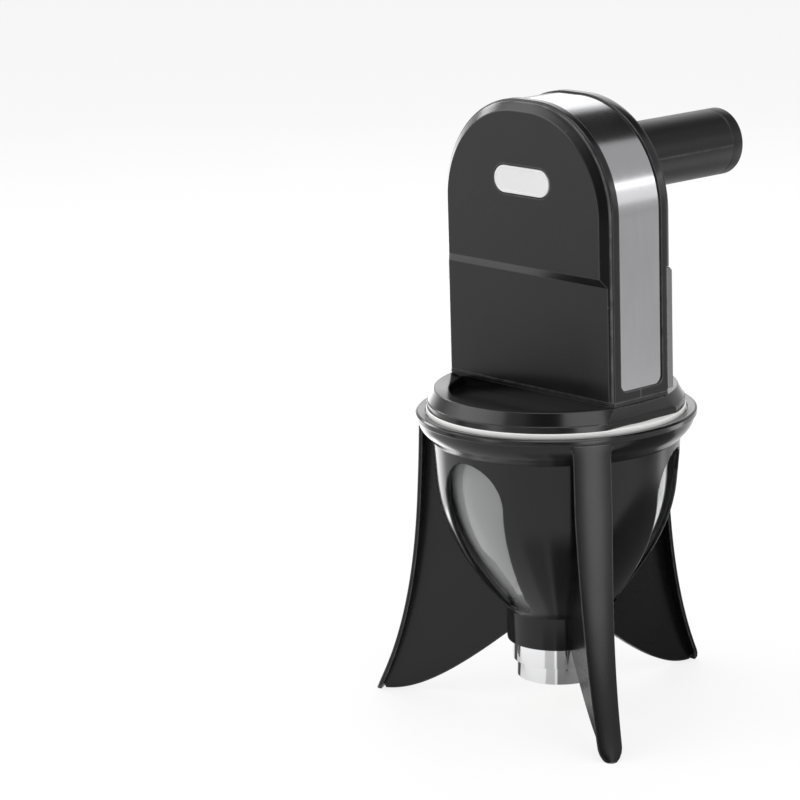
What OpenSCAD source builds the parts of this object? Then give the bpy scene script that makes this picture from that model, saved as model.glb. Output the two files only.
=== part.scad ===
// Donut maker: a three-legged funnel with a drive tower on its lid.
// Origin: on the bowl's axis, in the plane that the feet stand on. +Z up, -Y front, +Y handle side.

/* [Stand] */
// Radius of the bowl's rim flange
rim_r = 73; // [71:0.5:76]
// Height of the flat that carries the seal ring
rim_z = 158.8; // [150:0.5:168]
// Wall of the black outer bowl
shell_t = 2.4; // [1.8:0.1:3]
// How far each foot reaches out beyond the rim
foot_reach = 29.7; // [20:0.1:36]
// Width of a leg's outer rib at the top
leg_w_top = 19.6; // [15:0.5:24]
// Width of a leg's outer rib at the foot
leg_w_foot = 12.6; // [9:0.5:16]
// Thickness of a leg's web
leg_web_t = 3; // [2:0.1:5]
// Half the angle that a bowl window spans
window_half_angle = 19.5; // [14:0.5:24]

/* [Hopper and nozzle] */
// Wall of the clear hopper
hopper_t = 1.8; // [1.4:0.1:2.6]
// Gap between the hopper and the outer bowl
hopper_gap = 0.4; // [0.3:0.05:0.8]
// Outer radius of the neck under the bowl
neck_r = 27.8; // [27:0.1:30]
// Height of the neck's lower edge
neck_z = 36.1; // [32:0.1:40]
// Outer radius of the nozzle tube
tube_r = 22.9; // [22:0.1:23.4]
// Wall of the nozzle tube
tube_t = 1.4; // [1:0.1:2]
// Height of the nozzle tube's lower edge
tube_z = 16.2; // [12:0.1:22]
// Height of the sleeve's lower edge
sleeve_z = 25.3; // [23:0.1:32]
// Thickness of the seal ring
seal_t = 3.6; // [3:0.1:5]

/* [Lid] */
// Height of the lid from the seal to its top edge
lid_h = 10; // [9:0.1:12]
// Depth of the dished recess in the lid's top
recess_depth = 4.7; // [3:0.1:6]
// Radius of the recess
recess_r = 55; // [50:0.5:57]

/* [Tower] */
// Half the width of the tower
tower_half_w = 60.7; // [58:0.1:61.5]
// Half the width of the short flat across the arch's top, between its two round shoulders
arch_flat = 5.1; // [2:0.1:8]
// Height of the shoulders' centres above the tower's base
arch_rise = 92.7; // [88:0.1:100]
// Distance from the axis to the casing's front edge
case_front = 17.9; // [17.5:0.1:20]
// Distance from the axis to the casing's back edge
case_back = 20.5; // [20.2:0.1:22]
// Wall of the tower casing
case_t = 2.4; // [2:0.1:3]
// How far the lower front face stands proud of the casing's edge
lower_proud = 1.5; // [1.2:0.1:2.5]
// How far the upper front face stands proud of the casing's edge
upper_proud = 4.1; // [3.8:0.1:5.5]
// Height of the step between the two front faces above the tower's base
step_rise = 63.5; // [59:0.5:68]
// Width of the badge plate
badge_w = 40; // [30:0.5:48]
// Height of the badge plate
badge_h = 14.6; // [10:0.1:18]
// Distance of the badge from the tower's middle
badge_x = 0.6; // [-4:0.2:4]
// Distance from the axis to the steel band's front edge
band_front = 12.8; // [11:0.1:14]
// Distance from the axis to the steel band's back edge
band_back = 16.7; // [13:0.1:17]
// Thickness of the steel band
band_t = 0.6; // [0.4:0.1:0.8]
// How far the band lies below the casing's surface
band_recess = 0.9; // [0.2:0.1:1]

/* [Handle] */
// Radius of the handle
handle_r = 17.8; // [17:0.1:20]
// Drop of the handle's axis below the arch's top
handle_drop = 39.1; // [37:0.1:41]
// Distance from the axis to the handle's free end
handle_end = 125.4; // [115:0.1:140]
// Wall of the handle shells
handle_t = 2.5; // [2:0.1:3]
// Length of the handle's end cap
cap_len = 8; // [6:0.5:12]

/* [Drive] */
// Travel of the plunger
plunger_travel = 40; // [30:1:42]
// Radius of the plunger rod
rod_r = 4; // [3.5:0.1:4.4]
// Gear module of the motor stage
stage_module = 0.8; // [0.8:0.1:0.8]
// Gear module of the rack stage
rack_module = 1; // [1:0.1:1]
// Running clearance of shafts in their bushes
running_gap = 0.06; // [0.03:0.01:0.1]
// Clearance of the piston in the nozzle tube
piston_gap = 0.3; // [0.3:0.05:0.6]
// Radius of a battery
battery_r = 7.1; // [7:0.05:7.25]
// Length of a battery with its nub
battery_len = 50.1; // [49:0.1:50.5]

/* [Hidden] */
$fn = 96;
eps = 0.01;
fit_gap = 0.1;
tube_step = 0.3;
black = [0.13, 0.13, 0.14];
dark = [0.09, 0.09, 0.1];
steel = [0.74, 0.75, 0.76];
white = [0.93, 0.93, 0.92];

// Bowl outline
foot_r = rim_r + foot_reach;
bowl_top_r = rim_r - 8.6;
bowl_top_z = rim_z - 13.8;
neck_top_z = neck_z + 17.2;
bowl_drop = bowl_top_z - neck_top_z;
bowl_curve = [
  [bowl_top_r, bowl_top_z],
  [bowl_top_r - 2.6, bowl_top_z - 0.308 * bowl_drop],
  [bowl_top_r + 2.9, bowl_top_z - 0.51 * bowl_drop],
  [neck_r, neck_top_z]
];
curve_steps = 14;
lip_h = 1.8;
lip_t = 1.6;
flange_t = 3;
shell_bore_r = neck_r - shell_t - 0.3;
outlet_z = neck_z + 13.9;

// Hopper, nozzle and seal
hopper_d = shell_t + hopper_gap;
sleeve_r = shell_bore_r - 0.2;
tube_bore_r = tube_r - tube_t;
hopper_rim_r = rim_r - 8;
hopper_rim_t = 1.6;
seal_r = rim_r - 5.7;
seal_inner_r = rim_r - 11;
lid_z = rim_z + seal_t;

// Lid and tower
lid_band_h = 3.5;
lid_band_r = seal_r - 0.4;
lid_top_z = lid_z + lid_h;
lid_edge_r = rim_r - 9.7;
lid_floor_t = 2.5;
recess_dish = 1.2;
recess_z = lid_top_z - recess_dish - recess_depth;
base_z = lid_top_z + 2.1;
plinth_inset = 0.6;
arch_z = base_z + arch_rise;
arch_r = tower_half_w - arch_flat;
arch_top_z = arch_z + arch_r;
inner_half_w = tower_half_w - case_t;
handle_z = arch_top_z - handle_drop;
lower_face_y = case_front + lower_proud;
upper_face_y = case_front + upper_proud;
lower_half_w = tower_half_w - 2.6;
upper_half_w = tower_half_w - 5.5;
step_z = base_z + step_rise;
step_drop = 4.7;
badge_z = arch_top_z - 41;
badge_t = 1.2;
split_y = 1;
band_bottom_z = base_z + 5;
band_corner_r = 4;
groove_depth = band_t + band_recess;
back_face_y = case_back + 2.6;
door_face_y = case_back + 5.3;
back_slope = 0.2;
door_top_z = base_z + 64;
door_bottom_z = base_z + 1;
latch_x = tower_half_w - 8.7;

// Drive
stub = 0.75;
root = 1.0;
backlash = 0.09;
motor_teeth = 12;
wheel_teeth = 42;
pinion_teeth = 16;
wheel_r = wheel_teeth * stage_module / 2;
motor_pinion_r = motor_teeth * stage_module / 2;
pinion_r = pinion_teeth * rack_module / 2;
stage_distance = wheel_r + motor_pinion_r;
rack_line_x = -rod_r;
gear_x = rack_line_x - pinion_r;
gear_z = handle_z - sqrt(pow(stage_distance, 2) - pow(gear_x, 2));
mesh_angle = atan2(handle_z - gear_z, -gear_x);
axle_r = 1.5;
shaft_r = 2;
wheel_y = 5;
wheel_t = 4;
rack_half_w = 4;
rack_back_x = rod_r;
rack_low_z = gear_z - plunger_travel - 9;
rack_high_z = gear_z + 8;
piston_low_z = tube_z + 1;
piston_h = 15.5;
piston_r = tube_bore_r - piston_gap;
ring_wire_r = 1.05;
groove_t = 2 * ring_wire_r - piston_gap / 2 + 0.02;
bush_flange_r = 10;
bush_r = 7.9;
bush_low_z = lid_z - 4.4;

// Battery bay
tray_x = 24;
tray_half_w = 17.4;
tray_wall = 1.6;
tray_front = 0.5;
tray_back = case_back - case_t;
tray_low_z = base_z + 7.3;
contact_t = 0.4;
spring_h = 1.1;
tray_h = battery_len + spring_h + 2 * contact_t + 2 * tray_wall;
battery_pitch = 15.4;
battery_y = 9;
cell_z = tray_low_z + tray_wall + contact_t + spring_h;

// Handle
handle_root = back_face_y;
cap_y = handle_end - cap_len;
spigot_r = 15;
motor_r = 12.4;
motor_face_y = back_face_y + 1.7;
gearbox_len = 22;
motor_len = 31;
saddle_t = 1.6;
grip_screws = [back_face_y + 63, cap_y - 13];

// Button and board
button_r = 6;
button_z = (handle_z + spigot_r + 1.6 + arch_top_z - case_t - 3.6) / 2;
board_w = 28;
board_drop = 13;
board_top = 4;
switch_w = 4.8;
button_travel = 1.4;
board_y = 10;
board_t = 1.6;

// Screws and pegs sit in mirrored pairs, [distance from the middle, height]
function paired(spots) = [for (p = spots, s = [-1, 1]) [s * p[0], p[1]]];
tray_side = tray_x + tray_half_w;
boss_reach = arch_r - 11.6;
boss_angle = 49;
case_screws = paired([[arch_flat + boss_reach * cos(boss_angle), arch_z + boss_reach * sin(boss_angle)],
  [inner_half_w - 10.3, arch_z - 15.2], [tray_side + 8.6, base_z + 20]]);
cover_pegs = paired([[inner_half_w - 14.3, base_z + 14], [inner_half_w - 12.3, step_z - 20],
  [arch_flat + 0.6 * arch_r, arch_z + 0.3 * arch_r]]);
lid_screw_at = paired([[tray_side + 5.6, -9], [tray_side + 5.6, 10]]);

function bezier(p, t) = pow(1 - t, 3) * p[0] + 3 * pow(1 - t, 2) * t * p[1]
  + 3 * (1 - t) * t * t * p[2] + t * t * t * p[3];
function bezier_dir(p, t) = pow(1 - t, 2) * (p[1] - p[0]) + 2 * (1 - t) * t * (p[2] - p[1])
  + t * t * (p[3] - p[2]);
function inward(v) = [v[1], -v[0]] / norm(v);
function curve_inside(p, d, n) = [for (i = [0:n]) bezier(p, i / n) + d * inward(bezier_dir(p, i / n))];
function arc_points(c, r, a0, a1, n) = [for (i = [0:n]) c + r * [cos(a0 + (a1 - a0) * i / n),
  sin(a0 + (a1 - a0) * i / n)]];
function flipped(p) = [for (i = [len(p) - 1:-1:0]) [-p[i][0], p[i][1]]];
function backwards(p) = [for (i = [len(p) - 1:-1:0]) p[i]];

// Stand ---------------------------------------------------------------

module bowl_solid(d = 0) {
  rotate_extrude()
    polygon(concat([[0, bowl_top_z + 4]], [[bowl_top_r - d, bowl_top_z + 4]],
      curve_inside(bowl_curve, d, curve_steps), [[0, neck_top_z - d]]));
}

module bowl_window() {
  low_z = neck_top_z + 3.3;
  high_z = bowl_top_z - 3.4;
  top_r = bowl_top_r * sin(window_half_angle) - 0.8;
  waist_z = high_z - top_r;
  side = [for (i = [3:curve_steps - 1]) let (p = bezier(bowl_curve, (i + 0.45) / curve_steps))
    if (p[1] < waist_z - 6 && p[1] > low_z + 5) [p[0] * sin(window_half_angle) - 0.6, p[1]]];
  last = side[len(side) - 1];
  foot = [[last[0] - 1.4, low_z + 2.4], [last[0] - 4.5, low_z + 0.5], [2, low_z]];
  half = concat(arc_points([0, waist_z], top_r, 90, 0, 10), side, foot);
  rotate([90, 0, 0])
    linear_extrude(rim_r)
      polygon(concat(half, flipped(half)));
}

module bowl_shell() {
  outer = concat(
    [[shell_bore_r, neck_z], [neck_r - 0.8, neck_z], [neck_r, neck_z + 0.8], [neck_r, neck_top_z - 1.2]],
    backwards(curve_inside(bowl_curve, 0, curve_steps)),
    [[bowl_top_r + 0.9, bowl_top_z + 0.3], [bowl_top_r + 2.8, bowl_top_z + 2.2],
      [bowl_top_r + 5.2, bowl_top_z + 5.4], [rim_r - 1.9, bowl_top_z + 8.6], [rim_r - 1, bowl_top_z + 12]],
    [[rim_r - 0.2, bowl_top_z + 12.2], [rim_r, bowl_top_z + 12.8], [rim_r, rim_z + lip_h - 0.6],
      [rim_r - 0.5, rim_z + lip_h], [rim_r - lip_t, rim_z + lip_h], [rim_r - lip_t, rim_z]]);
  inner = concat(
    [[bowl_top_r - shell_t, rim_z], [bowl_top_r - shell_t, bowl_top_z + 2]],
    curve_inside(bowl_curve, shell_t, curve_steps),
    [[shell_bore_r, neck_top_z]]);
  color(black)
    difference() {
      rotate_extrude()
        polygon(concat(outer, inner));
      for (a = [0, 120, 240])
        rotate([0, 0, a])
          bowl_window();
    }
}

// Leg: web plate in the radial plane and a crowned outer rib
leg_top_z = rim_z - 3.6;
leg_curve = [
  [rim_r - 0.3, leg_top_z],
  [rim_r + 1.7, 0.655 * leg_top_z],
  [foot_r - 25, 0.305 * leg_top_z],
  [foot_r, 0]
];
fin_curve = [[neck_r, neck_z + 0.6], [foot_r - 37, 0.18 * neck_z], [foot_r - 20, 0.4], [foot_r - 5.5, 0.4]];
leg_crown = 1;
leg_edge_t = 2;
leg_stations = 22;
leg_taper_z = 118;

function leg_half_w(z) = z > leg_taper_z ? leg_w_top / 2
  : leg_w_foot / 2 + (leg_w_top - leg_w_foot) / 2 * pow(z / leg_taper_z, 1.15);
function rib_ring(t) = let (
    p = bezier(leg_curve, t),
    n = -inward(bezier_dir(leg_curve, t)),
    w = leg_half_w(p[1]),
    foot = max(0, 1 - p[1] / 5),
    half = w * sqrt(max(0.12, 1 - 0.9 * foot * foot)))
  concat(
    [for (s = [-1, -0.8, -0.45, 0, 0.45, 0.8, 1]) let (q = p - n * (leg_crown * s * s))
      [q[0], s * half, max(0, q[1])]],
    [for (s = [1, -1]) let (q = p - n * (leg_crown + leg_edge_t))
      [q[0], s * (half - 0.3), max(0, q[1])]]);

module leg_rib() {
  rings = [for (i = [0:leg_stations]) rib_ring(i / leg_stations)];
  n = len(rings[0]);
  faces = concat(
    [[for (k = [n - 1:-1:0]) k]],
    [[for (k = [0:n - 1]) leg_stations * n + k]],
    [for (i = [0:leg_stations - 1], k = [0:n - 1]) [i * n + k, i * n + (k + 1) % n, (i + 1) * n + k]],
    [for (i = [0:leg_stations - 1], k = [0:n - 1])
      [(i + 1) * n + k, i * n + (k + 1) % n, (i + 1) * n + (k + 1) % n]]);
  polyhedron(points = [for (r = rings) each r], faces = faces);
}

module leg_web() {
  back = leg_crown + leg_edge_t / 2;
  outer = [for (i = [0:16]) bezier(leg_curve, i / 16) + back * inward(bezier_dir(leg_curve, i / 16))];
  trimmed = [for (p = outer) if (p[1] > 1) p];
  fin = [for (i = [0:12]) bezier(fin_curve, i / 12)];
  rotate([90, 0, 0])
    linear_extrude(leg_web_t, center = true)
      polygon(concat([[bowl_top_r - 4, leg_top_z]], trimmed, backwards(fin), [[neck_r - 1, neck_z]]));
}

module collar_solid() {
  rotate_extrude()
    polygon([[0, neck_z - 1], [neck_r, neck_z - 1], [neck_r, bowl_top_z - 10], [0, bowl_top_z - 10]]);
  bowl_solid();
  rotate_extrude()
    polygon([[0, bowl_top_z], [bowl_top_r, bowl_top_z], [bowl_top_r + 0.9, bowl_top_z + 0.3],
      [bowl_top_r + 2.8, bowl_top_z + 2.2], [bowl_top_r + 5.2, bowl_top_z + 5.4],
      [rim_r - 1.9, bowl_top_z + 8.6], [rim_r - 1, bowl_top_z + 12], [0, bowl_top_z + 12]]);
}

module leg(a) {
  color(dark)
    rotate([0, 0, a - 90])
      difference() {
        union() {
          leg_rib();
          leg_web();
        }
        collar_solid();
      }
}

module leg_left() leg(-60);
module leg_right() leg(60);
module leg_rear() leg(180);

// Hopper, seal and nozzle ---------------------------------------------

module clear_hopper() {
  outer = concat(
    [[sleeve_r - 0.2, outlet_z]], [[sleeve_r - 0.2, neck_top_z - 0.4]],
    backwards(curve_inside(bowl_curve, hopper_d, curve_steps)),
    [[bowl_top_r - hopper_d, rim_z], [hopper_rim_r, rim_z], [hopper_rim_r, rim_z + hopper_rim_t]]);
  inner = concat(
    [[bowl_top_r - hopper_d - hopper_t, rim_z + hopper_rim_t]],
    [[bowl_top_r - hopper_d - hopper_t, bowl_top_z + 2]],
    curve_inside(bowl_curve, hopper_d + hopper_t, curve_steps),
    [[tube_bore_r, neck_top_z - 1], [tube_bore_r, outlet_z]]);
  color([0.85, 0.9, 0.93, 0.45])
    rotate_extrude()
      polygon(concat(outer, inner));
}

module seal_ring() {
  color(white)
    rotate_extrude()
      polygon([[hopper_rim_r + 0.1, rim_z], [seal_r, rim_z], [seal_r + 0.2, rim_z + seal_t / 2],
        [seal_r, lid_z], [seal_inner_r, lid_z], [seal_inner_r, rim_z + hopper_rim_t],
        [hopper_rim_r + 0.1, rim_z + hopper_rim_t]]);
}

module nozzle_sleeve() {
  color(steel)
    rotate_extrude()
      polygon([[tube_r - tube_step, sleeve_z], [sleeve_r - 0.4, sleeve_z], [sleeve_r, sleeve_z + 0.4],
        [sleeve_r, outlet_z], [tube_r - tube_step, outlet_z]]);
}

module nozzle_tube() {
  color(steel)
    rotate_extrude()
      polygon([[tube_bore_r, tube_z], [tube_r - 0.4, tube_z], [tube_r, tube_z + 0.4], [tube_r, sleeve_z],
        [tube_r - tube_step, sleeve_z], [tube_r - tube_step, outlet_z], [tube_bore_r, outlet_z]]);
}

// Lid -------------------------------------------------------------------

module lid_flats() {
  low = tower_half_w + 1.1;
  high = tower_half_w - 0.4;
  side = [[low, lid_z - 12], [low, lid_z + lid_band_h], [high, lid_top_z], [high, base_z + 1]];
  rotate([90, 0, 0])
    linear_extrude(3 * rim_r, center = true)
      polygon(concat(side, flipped(side)));
}

module lid_body() {
  spigot_r = bowl_top_r - hopper_d - hopper_t - 0.5;
  rotate_extrude()
    polygon([[bush_r + fit_gap, recess_z], [recess_r - 0.8, recess_z], [recess_r, recess_z + 0.8],
      [recess_r, lid_top_z - recess_dish], [recess_r + 0.6, lid_top_z - recess_dish + 0.3],
      [lid_edge_r - 0.6, lid_top_z], [lid_edge_r, lid_top_z - 0.4], [lid_band_r - 0.7, lid_z + lid_band_h],
      [lid_band_r, lid_z + lid_band_h - 0.6], [lid_band_r, lid_z], [spigot_r, lid_z],
      [spigot_r, lid_z - 8], [spigot_r - 2, lid_z - 8], [spigot_r - 2, recess_z - lid_floor_t],
      [bush_r + fit_gap, recess_z - lid_floor_t]]);
}

module rounded_block(half_w, front, back, r, z0, h) {
  translate([0, 0, z0])
    linear_extrude(h)
      union() {
        translate([-half_w + r, -front])
          square([2 * (half_w - r), front + back]);
        translate([-half_w, -front + r])
          square([2 * half_w, front + back - 2 * r]);
        for (x = [-1, 1], y = [-front + r, back - r])
          translate([x * (half_w - r), y])
            circle(r, $fn = 32);
      }
}

module lid() {
  plinth_w = tower_half_w - plinth_inset;
  front = case_front - plinth_inset;
  back = case_back - plinth_inset;
  color(black)
    difference() {
      intersection() {
        union() {
          lid_body();
          difference() {
            rounded_block(plinth_w, front, back, 2, recess_z - 1, base_z - recess_z + 1);
            rounded_block(plinth_w - 2.5, front - 2.5, back - 2.5, 1, recess_z, base_z);
          }
          for (p = lid_screw_at)
            translate([p[0], p[1], recess_z - 1])
              cylinder(r = 4, h = base_z - recess_z + 1);
        }
        lid_flats();
      }
      for (p = lid_screw_at)
        translate([p[0], p[1], recess_z - 10])
          cylinder(r = 1.6, h = 30);
      translate([0, 0, recess_z - 10])
        cylinder(r = bush_r + fit_gap, h = 20);
    }
}

module rod_bush() {
  color(white)
    rotate_extrude()
      polygon([[rod_r + running_gap, bush_low_z], [bush_r - 0.6, bush_low_z], [bush_r, bush_low_z + 0.6],
        [bush_r, recess_z], [bush_flange_r, recess_z], [bush_flange_r, recess_z + 1.6],
        [bush_r, recess_z + 2.2], [rod_r + running_gap, recess_z + 2.2]]);
}

module lid_screws() {
  floor_z = recess_z - lid_floor_t;
  color(steel)
    for (p = lid_screw_at)
      translate([p[0], p[1], 0])
        rotate_extrude($fn = 32)
          polygon([[0, floor_z - 2.4], [2.2, floor_z - 2.2], [2.8, floor_z - 1], [2.8, floor_z],
            [1.5, floor_z], [1.5, base_z + 11], [0, base_z + 12]]);
}

// Tower -----------------------------------------------------------------

// Sweeps a half section [half width, distance in front] up the sides and over the arch
module arch_sweep(s, z0, z1) {
  right = [for (p = s) [p[0], -p[1]]];
  left = backwards([for (p = s) [-p[0], -p[1]]]);
  translate([0, 0, z0])
    linear_extrude(z1 - z0)
      for (outline = s[0][0] > 0 ? [right, left] : [concat(right, left)])
        polygon(outline);
  arch_top([for (p = s) [max(0, p[0] - arch_flat), p[1]]], z1);
}

// The same section over the two shoulders and the flat between them
module arch_top(s, z) {
  translate([0, 0, z]) {
    for (m = [0, 1])
      mirror([m, 0, 0])
        translate([arch_flat, 0, 0])
          rotate([90, 0, 0])
            rotate_extrude(angle = 90)
              polygon(s);
    translate([-arch_flat, 0, 0])
      rotate([90, 0, 90])
        linear_extrude(2 * arch_flat)
          polygon([for (p = s) [-p[1], p[0]]]);
  }
}

module band_form(r_in, r_out, grow) {
  section = [[r_in, band_front + grow], [r_out, band_front + grow], [r_out, -band_back - grow],
    [r_in, -band_back - grow]];
  low = band_bottom_z - grow;
  mid = (band_back - band_front) / 2;
  half = (band_front + band_back) / 2 + grow;
  difference() {
    union() {
      arch_top([for (p = section) [p[0] - arch_flat, p[1]]], arch_z);
      for (m = [0, 1])
        mirror([m, 0, 0])
          translate([r_in, mid - half, low])
            cube([r_out - r_in, 2 * half, arch_z - low]);
    }
    for (m = [0, 1], e = [-1, 1])
      mirror([m, 0, 0])
        band_corner(r_in - 1, r_out + 1, mid + e * half, e, low);
  }
}

module band_corner(x0, x1, y, e, z) {
  r = band_corner_r;
  translate([x0, y - e * r, z + r])
    rotate([90, 0, 90])
      linear_extrude(x1 - x0)
        difference() {
          translate([e > 0 ? 0 : -r - 1, -r - 1])
            square([r + 1, r + 1]);
          circle(r, $fn = 32);
        }
}

module tower_floor(y0, y1) {
  translate([-inner_half_w - 1, y0, base_z])
    cube([2 * inner_half_w + 2, y1 - y0, case_t]);
}

module front_shell() {
  edge = case_front;
  section = [[0, edge], [tower_half_w - 1, edge], [tower_half_w - 0.3, edge - 0.3],
    [tower_half_w, edge - 1], [tower_half_w, -split_y], [inner_half_w, -split_y],
    [inner_half_w, edge - case_t], [0, edge - case_t]];
  wall_y = -(case_front - case_t);
  color(black)
    difference() {
      union() {
        arch_sweep(section, base_z, arch_z);
        tower_floor(wall_y - 1, split_y);
        translate([gear_x, wall_y - 1, gear_z])
          rotate([-90, 0, 0])
            cylinder(r = 4, h = -wall_y - 4.2);
        for (p = case_screws)
          translate([p[0], wall_y - 1, p[1]])
            rotate([-90, 0, 0])
              cylinder(r = 4, h = split_y - wall_y + 1);
        for (p = lid_screw_at)
          if (p[1] < 0)
            translate([p[0], p[1], base_z])
              cylinder(r = 4, h = 14);
      }
      band_form(tower_half_w - groove_depth, tower_half_w + 2, fit_gap);
      translate([gear_x, wall_y, gear_z])
        rotate([-90, 0, 0])
          cylinder(r = axle_r + 0.02, h = 30);
      for (p = case_screws)
        translate([p[0], wall_y + 1, p[1]])
          rotate([-90, 0, 0])
            cylinder(r = 1.52, h = 30);
      for (p = lid_screw_at)
        if (p[1] < 0)
          translate([p[0], p[1], base_z - 1])
            cylinder(r = 1.52, h = 14);
      translate([0, 0, base_z - 1])
        cylinder(r = bush_flange_r + 1, h = 6);
      for (p = cover_pegs)
        translate([p[0], -case_front - 1, p[1]])
          rotate([-90, 0, 0])
            cylinder(r = 2.05, h = 5);
    }
}

module back_shell() {
  edge = case_back;
  face = back_face_y;
  wall = face - case_t;
  low_wall = edge - case_t;
  rim = [[inner_half_w, split_y], [tower_half_w, split_y], [tower_half_w, edge], [inner_half_w, edge]];
  panel = [[0, low_wall], [inner_half_w + 0.5, low_wall], [inner_half_w + 0.5, edge], [0, edge]];
  raised = [[0, low_wall - 0.5], [inner_half_w + 0.5, low_wall - 0.5], [inner_half_w + 0.5, edge - 0.5],
    [tower_half_w, edge], [tower_half_w - back_slope * (face - edge - 0.5), face - 0.5],
    [tower_half_w - back_slope * (face - edge) - 0.5, face], [0, face]];
  pocket = [[0, low_wall - 2], [inner_half_w - 2, low_wall - 2], [inner_half_w - 3.6, wall], [0, wall]];
  color(black)
    difference() {
      union() {
        arch_sweep(mirrored_depth(rim), base_z, arch_z);
        difference() {
          union() {
            arch_sweep(mirrored_depth(panel), base_z, arch_z);
            arch_sweep(mirrored_depth(raised), door_top_z + 0.3, arch_z);
          }
          arch_sweep(mirrored_depth(pocket), door_top_z + 3.4, arch_z);
        }
        tower_floor(split_y, edge - 1);
        translate([gear_x, wheel_y + wheel_t + 1, gear_z])
          rotate([-90, 0, 0])
            cylinder(r = 4, h = wall - wheel_y - wheel_t);
        for (p = case_screws)
          translate([p[0], split_y, p[1]])
            rotate([-90, 0, 0])
              cylinder(r = 4, h = (p[1] > door_top_z ? wall : low_wall) - split_y + 0.5);
        for (p = lid_screw_at)
          if (p[1] > 0)
            translate([p[0], p[1], base_z])
              cylinder(r = 4, h = 14);
        for (s = [-1, 1])
          translate([s * (board_w / 2 - 3), board_y + board_t, button_z - board_drop / 2])
            rotate([-90, 0, 0])
              cylinder(r = 2.5, h = wall - board_y - board_t + 1);
      }
      band_form(tower_half_w - groove_depth, tower_half_w + 2, fit_gap);
      translate([gear_x, 0, gear_z])
        rotate([-90, 0, 0])
          cylinder(r = axle_r + 0.02, h = wall);
      for (p = case_screws) {
        translate([p[0], 0, p[1]])
          rotate([-90, 0, 0])
            cylinder(r = 1.6, h = 40);
        translate([p[0], low_wall - 2, p[1]])
          rotate([-90, 0, 0])
            cylinder(r = 3, h = 20);
      }
      for (p = lid_screw_at)
        if (p[1] > 0)
          translate([p[0], p[1], base_z - 1])
            cylinder(r = 1.52, h = 14);
      translate([0, 0, base_z - 1])
        cylinder(r = bush_flange_r + 1, h = 6);
      for (s = [-1, 1])
        translate([s * tray_x - tray_half_w + tray_wall, low_wall - 1, tray_low_z + tray_wall])
          cube([2 * (tray_half_w - tray_wall), 10, tray_h - 2 * tray_wall]);
      translate([0, 0, handle_z])
        rotate([-90, 0, 0])
          cylinder(r = spigot_r + fit_gap, h = 60);
      translate([0, 0, button_z])
        rotate([-90, 0, 0])
          cylinder(r = button_r + 0.3, h = 60);
      for (s = [-1, 1])
        translate([s * latch_x, edge - 1.2, door_top_z - 8])
          cube([5, 5, 3], center = true);
    }
}

function mirrored_depth(s) = [for (p = s) [p[0], -p[1]]];

module front_cover() {
  low_z = base_z + 0.3;
  lower = [[0, case_front], [tower_half_w - 1, case_front], [tower_half_w - 1.2, case_front + 0.4],
    [lower_half_w, lower_face_y], [0, lower_face_y]];
  upper = [[0, case_front], [tower_half_w - 1, case_front], [tower_half_w - 1.2, case_front + 0.4],
    [upper_half_w + 0.3, upper_face_y - 0.4], [upper_half_w - 0.2, upper_face_y], [0, upper_face_y]];
  hollow = [[0, case_front - 1], [upper_half_w - 3, case_front - 1], [upper_half_w - 3, upper_face_y - 2.4],
    [0, upper_face_y - 2.4]];
  // Slope of the step, seen from the side
  step = [[-case_front - 0.4, step_z - 3 * step_drop], [-case_front - 0.4, arch_z + 100],
    [-upper_face_y - 5, arch_z + 100], [-upper_face_y - 5, step_z],
    [-upper_face_y, step_z], [-lower_face_y, step_z - step_drop], [-lower_face_y, step_z - 3 * step_drop]];
  color(black)
    difference() {
      union() {
        arch_sweep(lower, low_z, arch_z);
        intersection() {
          arch_sweep(upper, step_z - 3 * step_drop, arch_z);
          rotate([90, 0, 90])
            linear_extrude(4 * tower_half_w, center = true)
              polygon(step);
        }
        for (p = cover_pegs)
          translate([p[0], -case_front - 0.5, p[1]])
            rotate([-90, 0, 0])
              cylinder(r = 2, h = 2.4, $fn = 32);
      }
      difference() {
        arch_sweep(hollow, step_z + 2, arch_z);
        for (p = cover_pegs)
          translate([p[0], 0, p[1]])
            rotate([90, 0, 0])
              cylinder(r = 4, h = 60, $fn = 32);
      }
      badge_form(badge_w + 0.8, badge_h + 0.8, upper_face_y - 0.8, 5);
    }
}

module badge_form(w, h, y0, t) {
  translate([badge_x, -y0, badge_z])
    rotate([90, 0, 0])
      linear_extrude(t)
        union() {
          square([w - h, h], center = true);
          for (s = [-1, 1])
            translate([s * (w - h) / 2, 0])
              circle(h / 2);
        }
}

module badge() {
  color([0.87, 0.87, 0.87])
    badge_form(badge_w, badge_h, upper_face_y - 0.8, badge_t);
}

module steel_band() {
  color(steel)
    band_form(tower_half_w - groove_depth, tower_half_w - groove_depth + band_t, 0);
}

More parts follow.
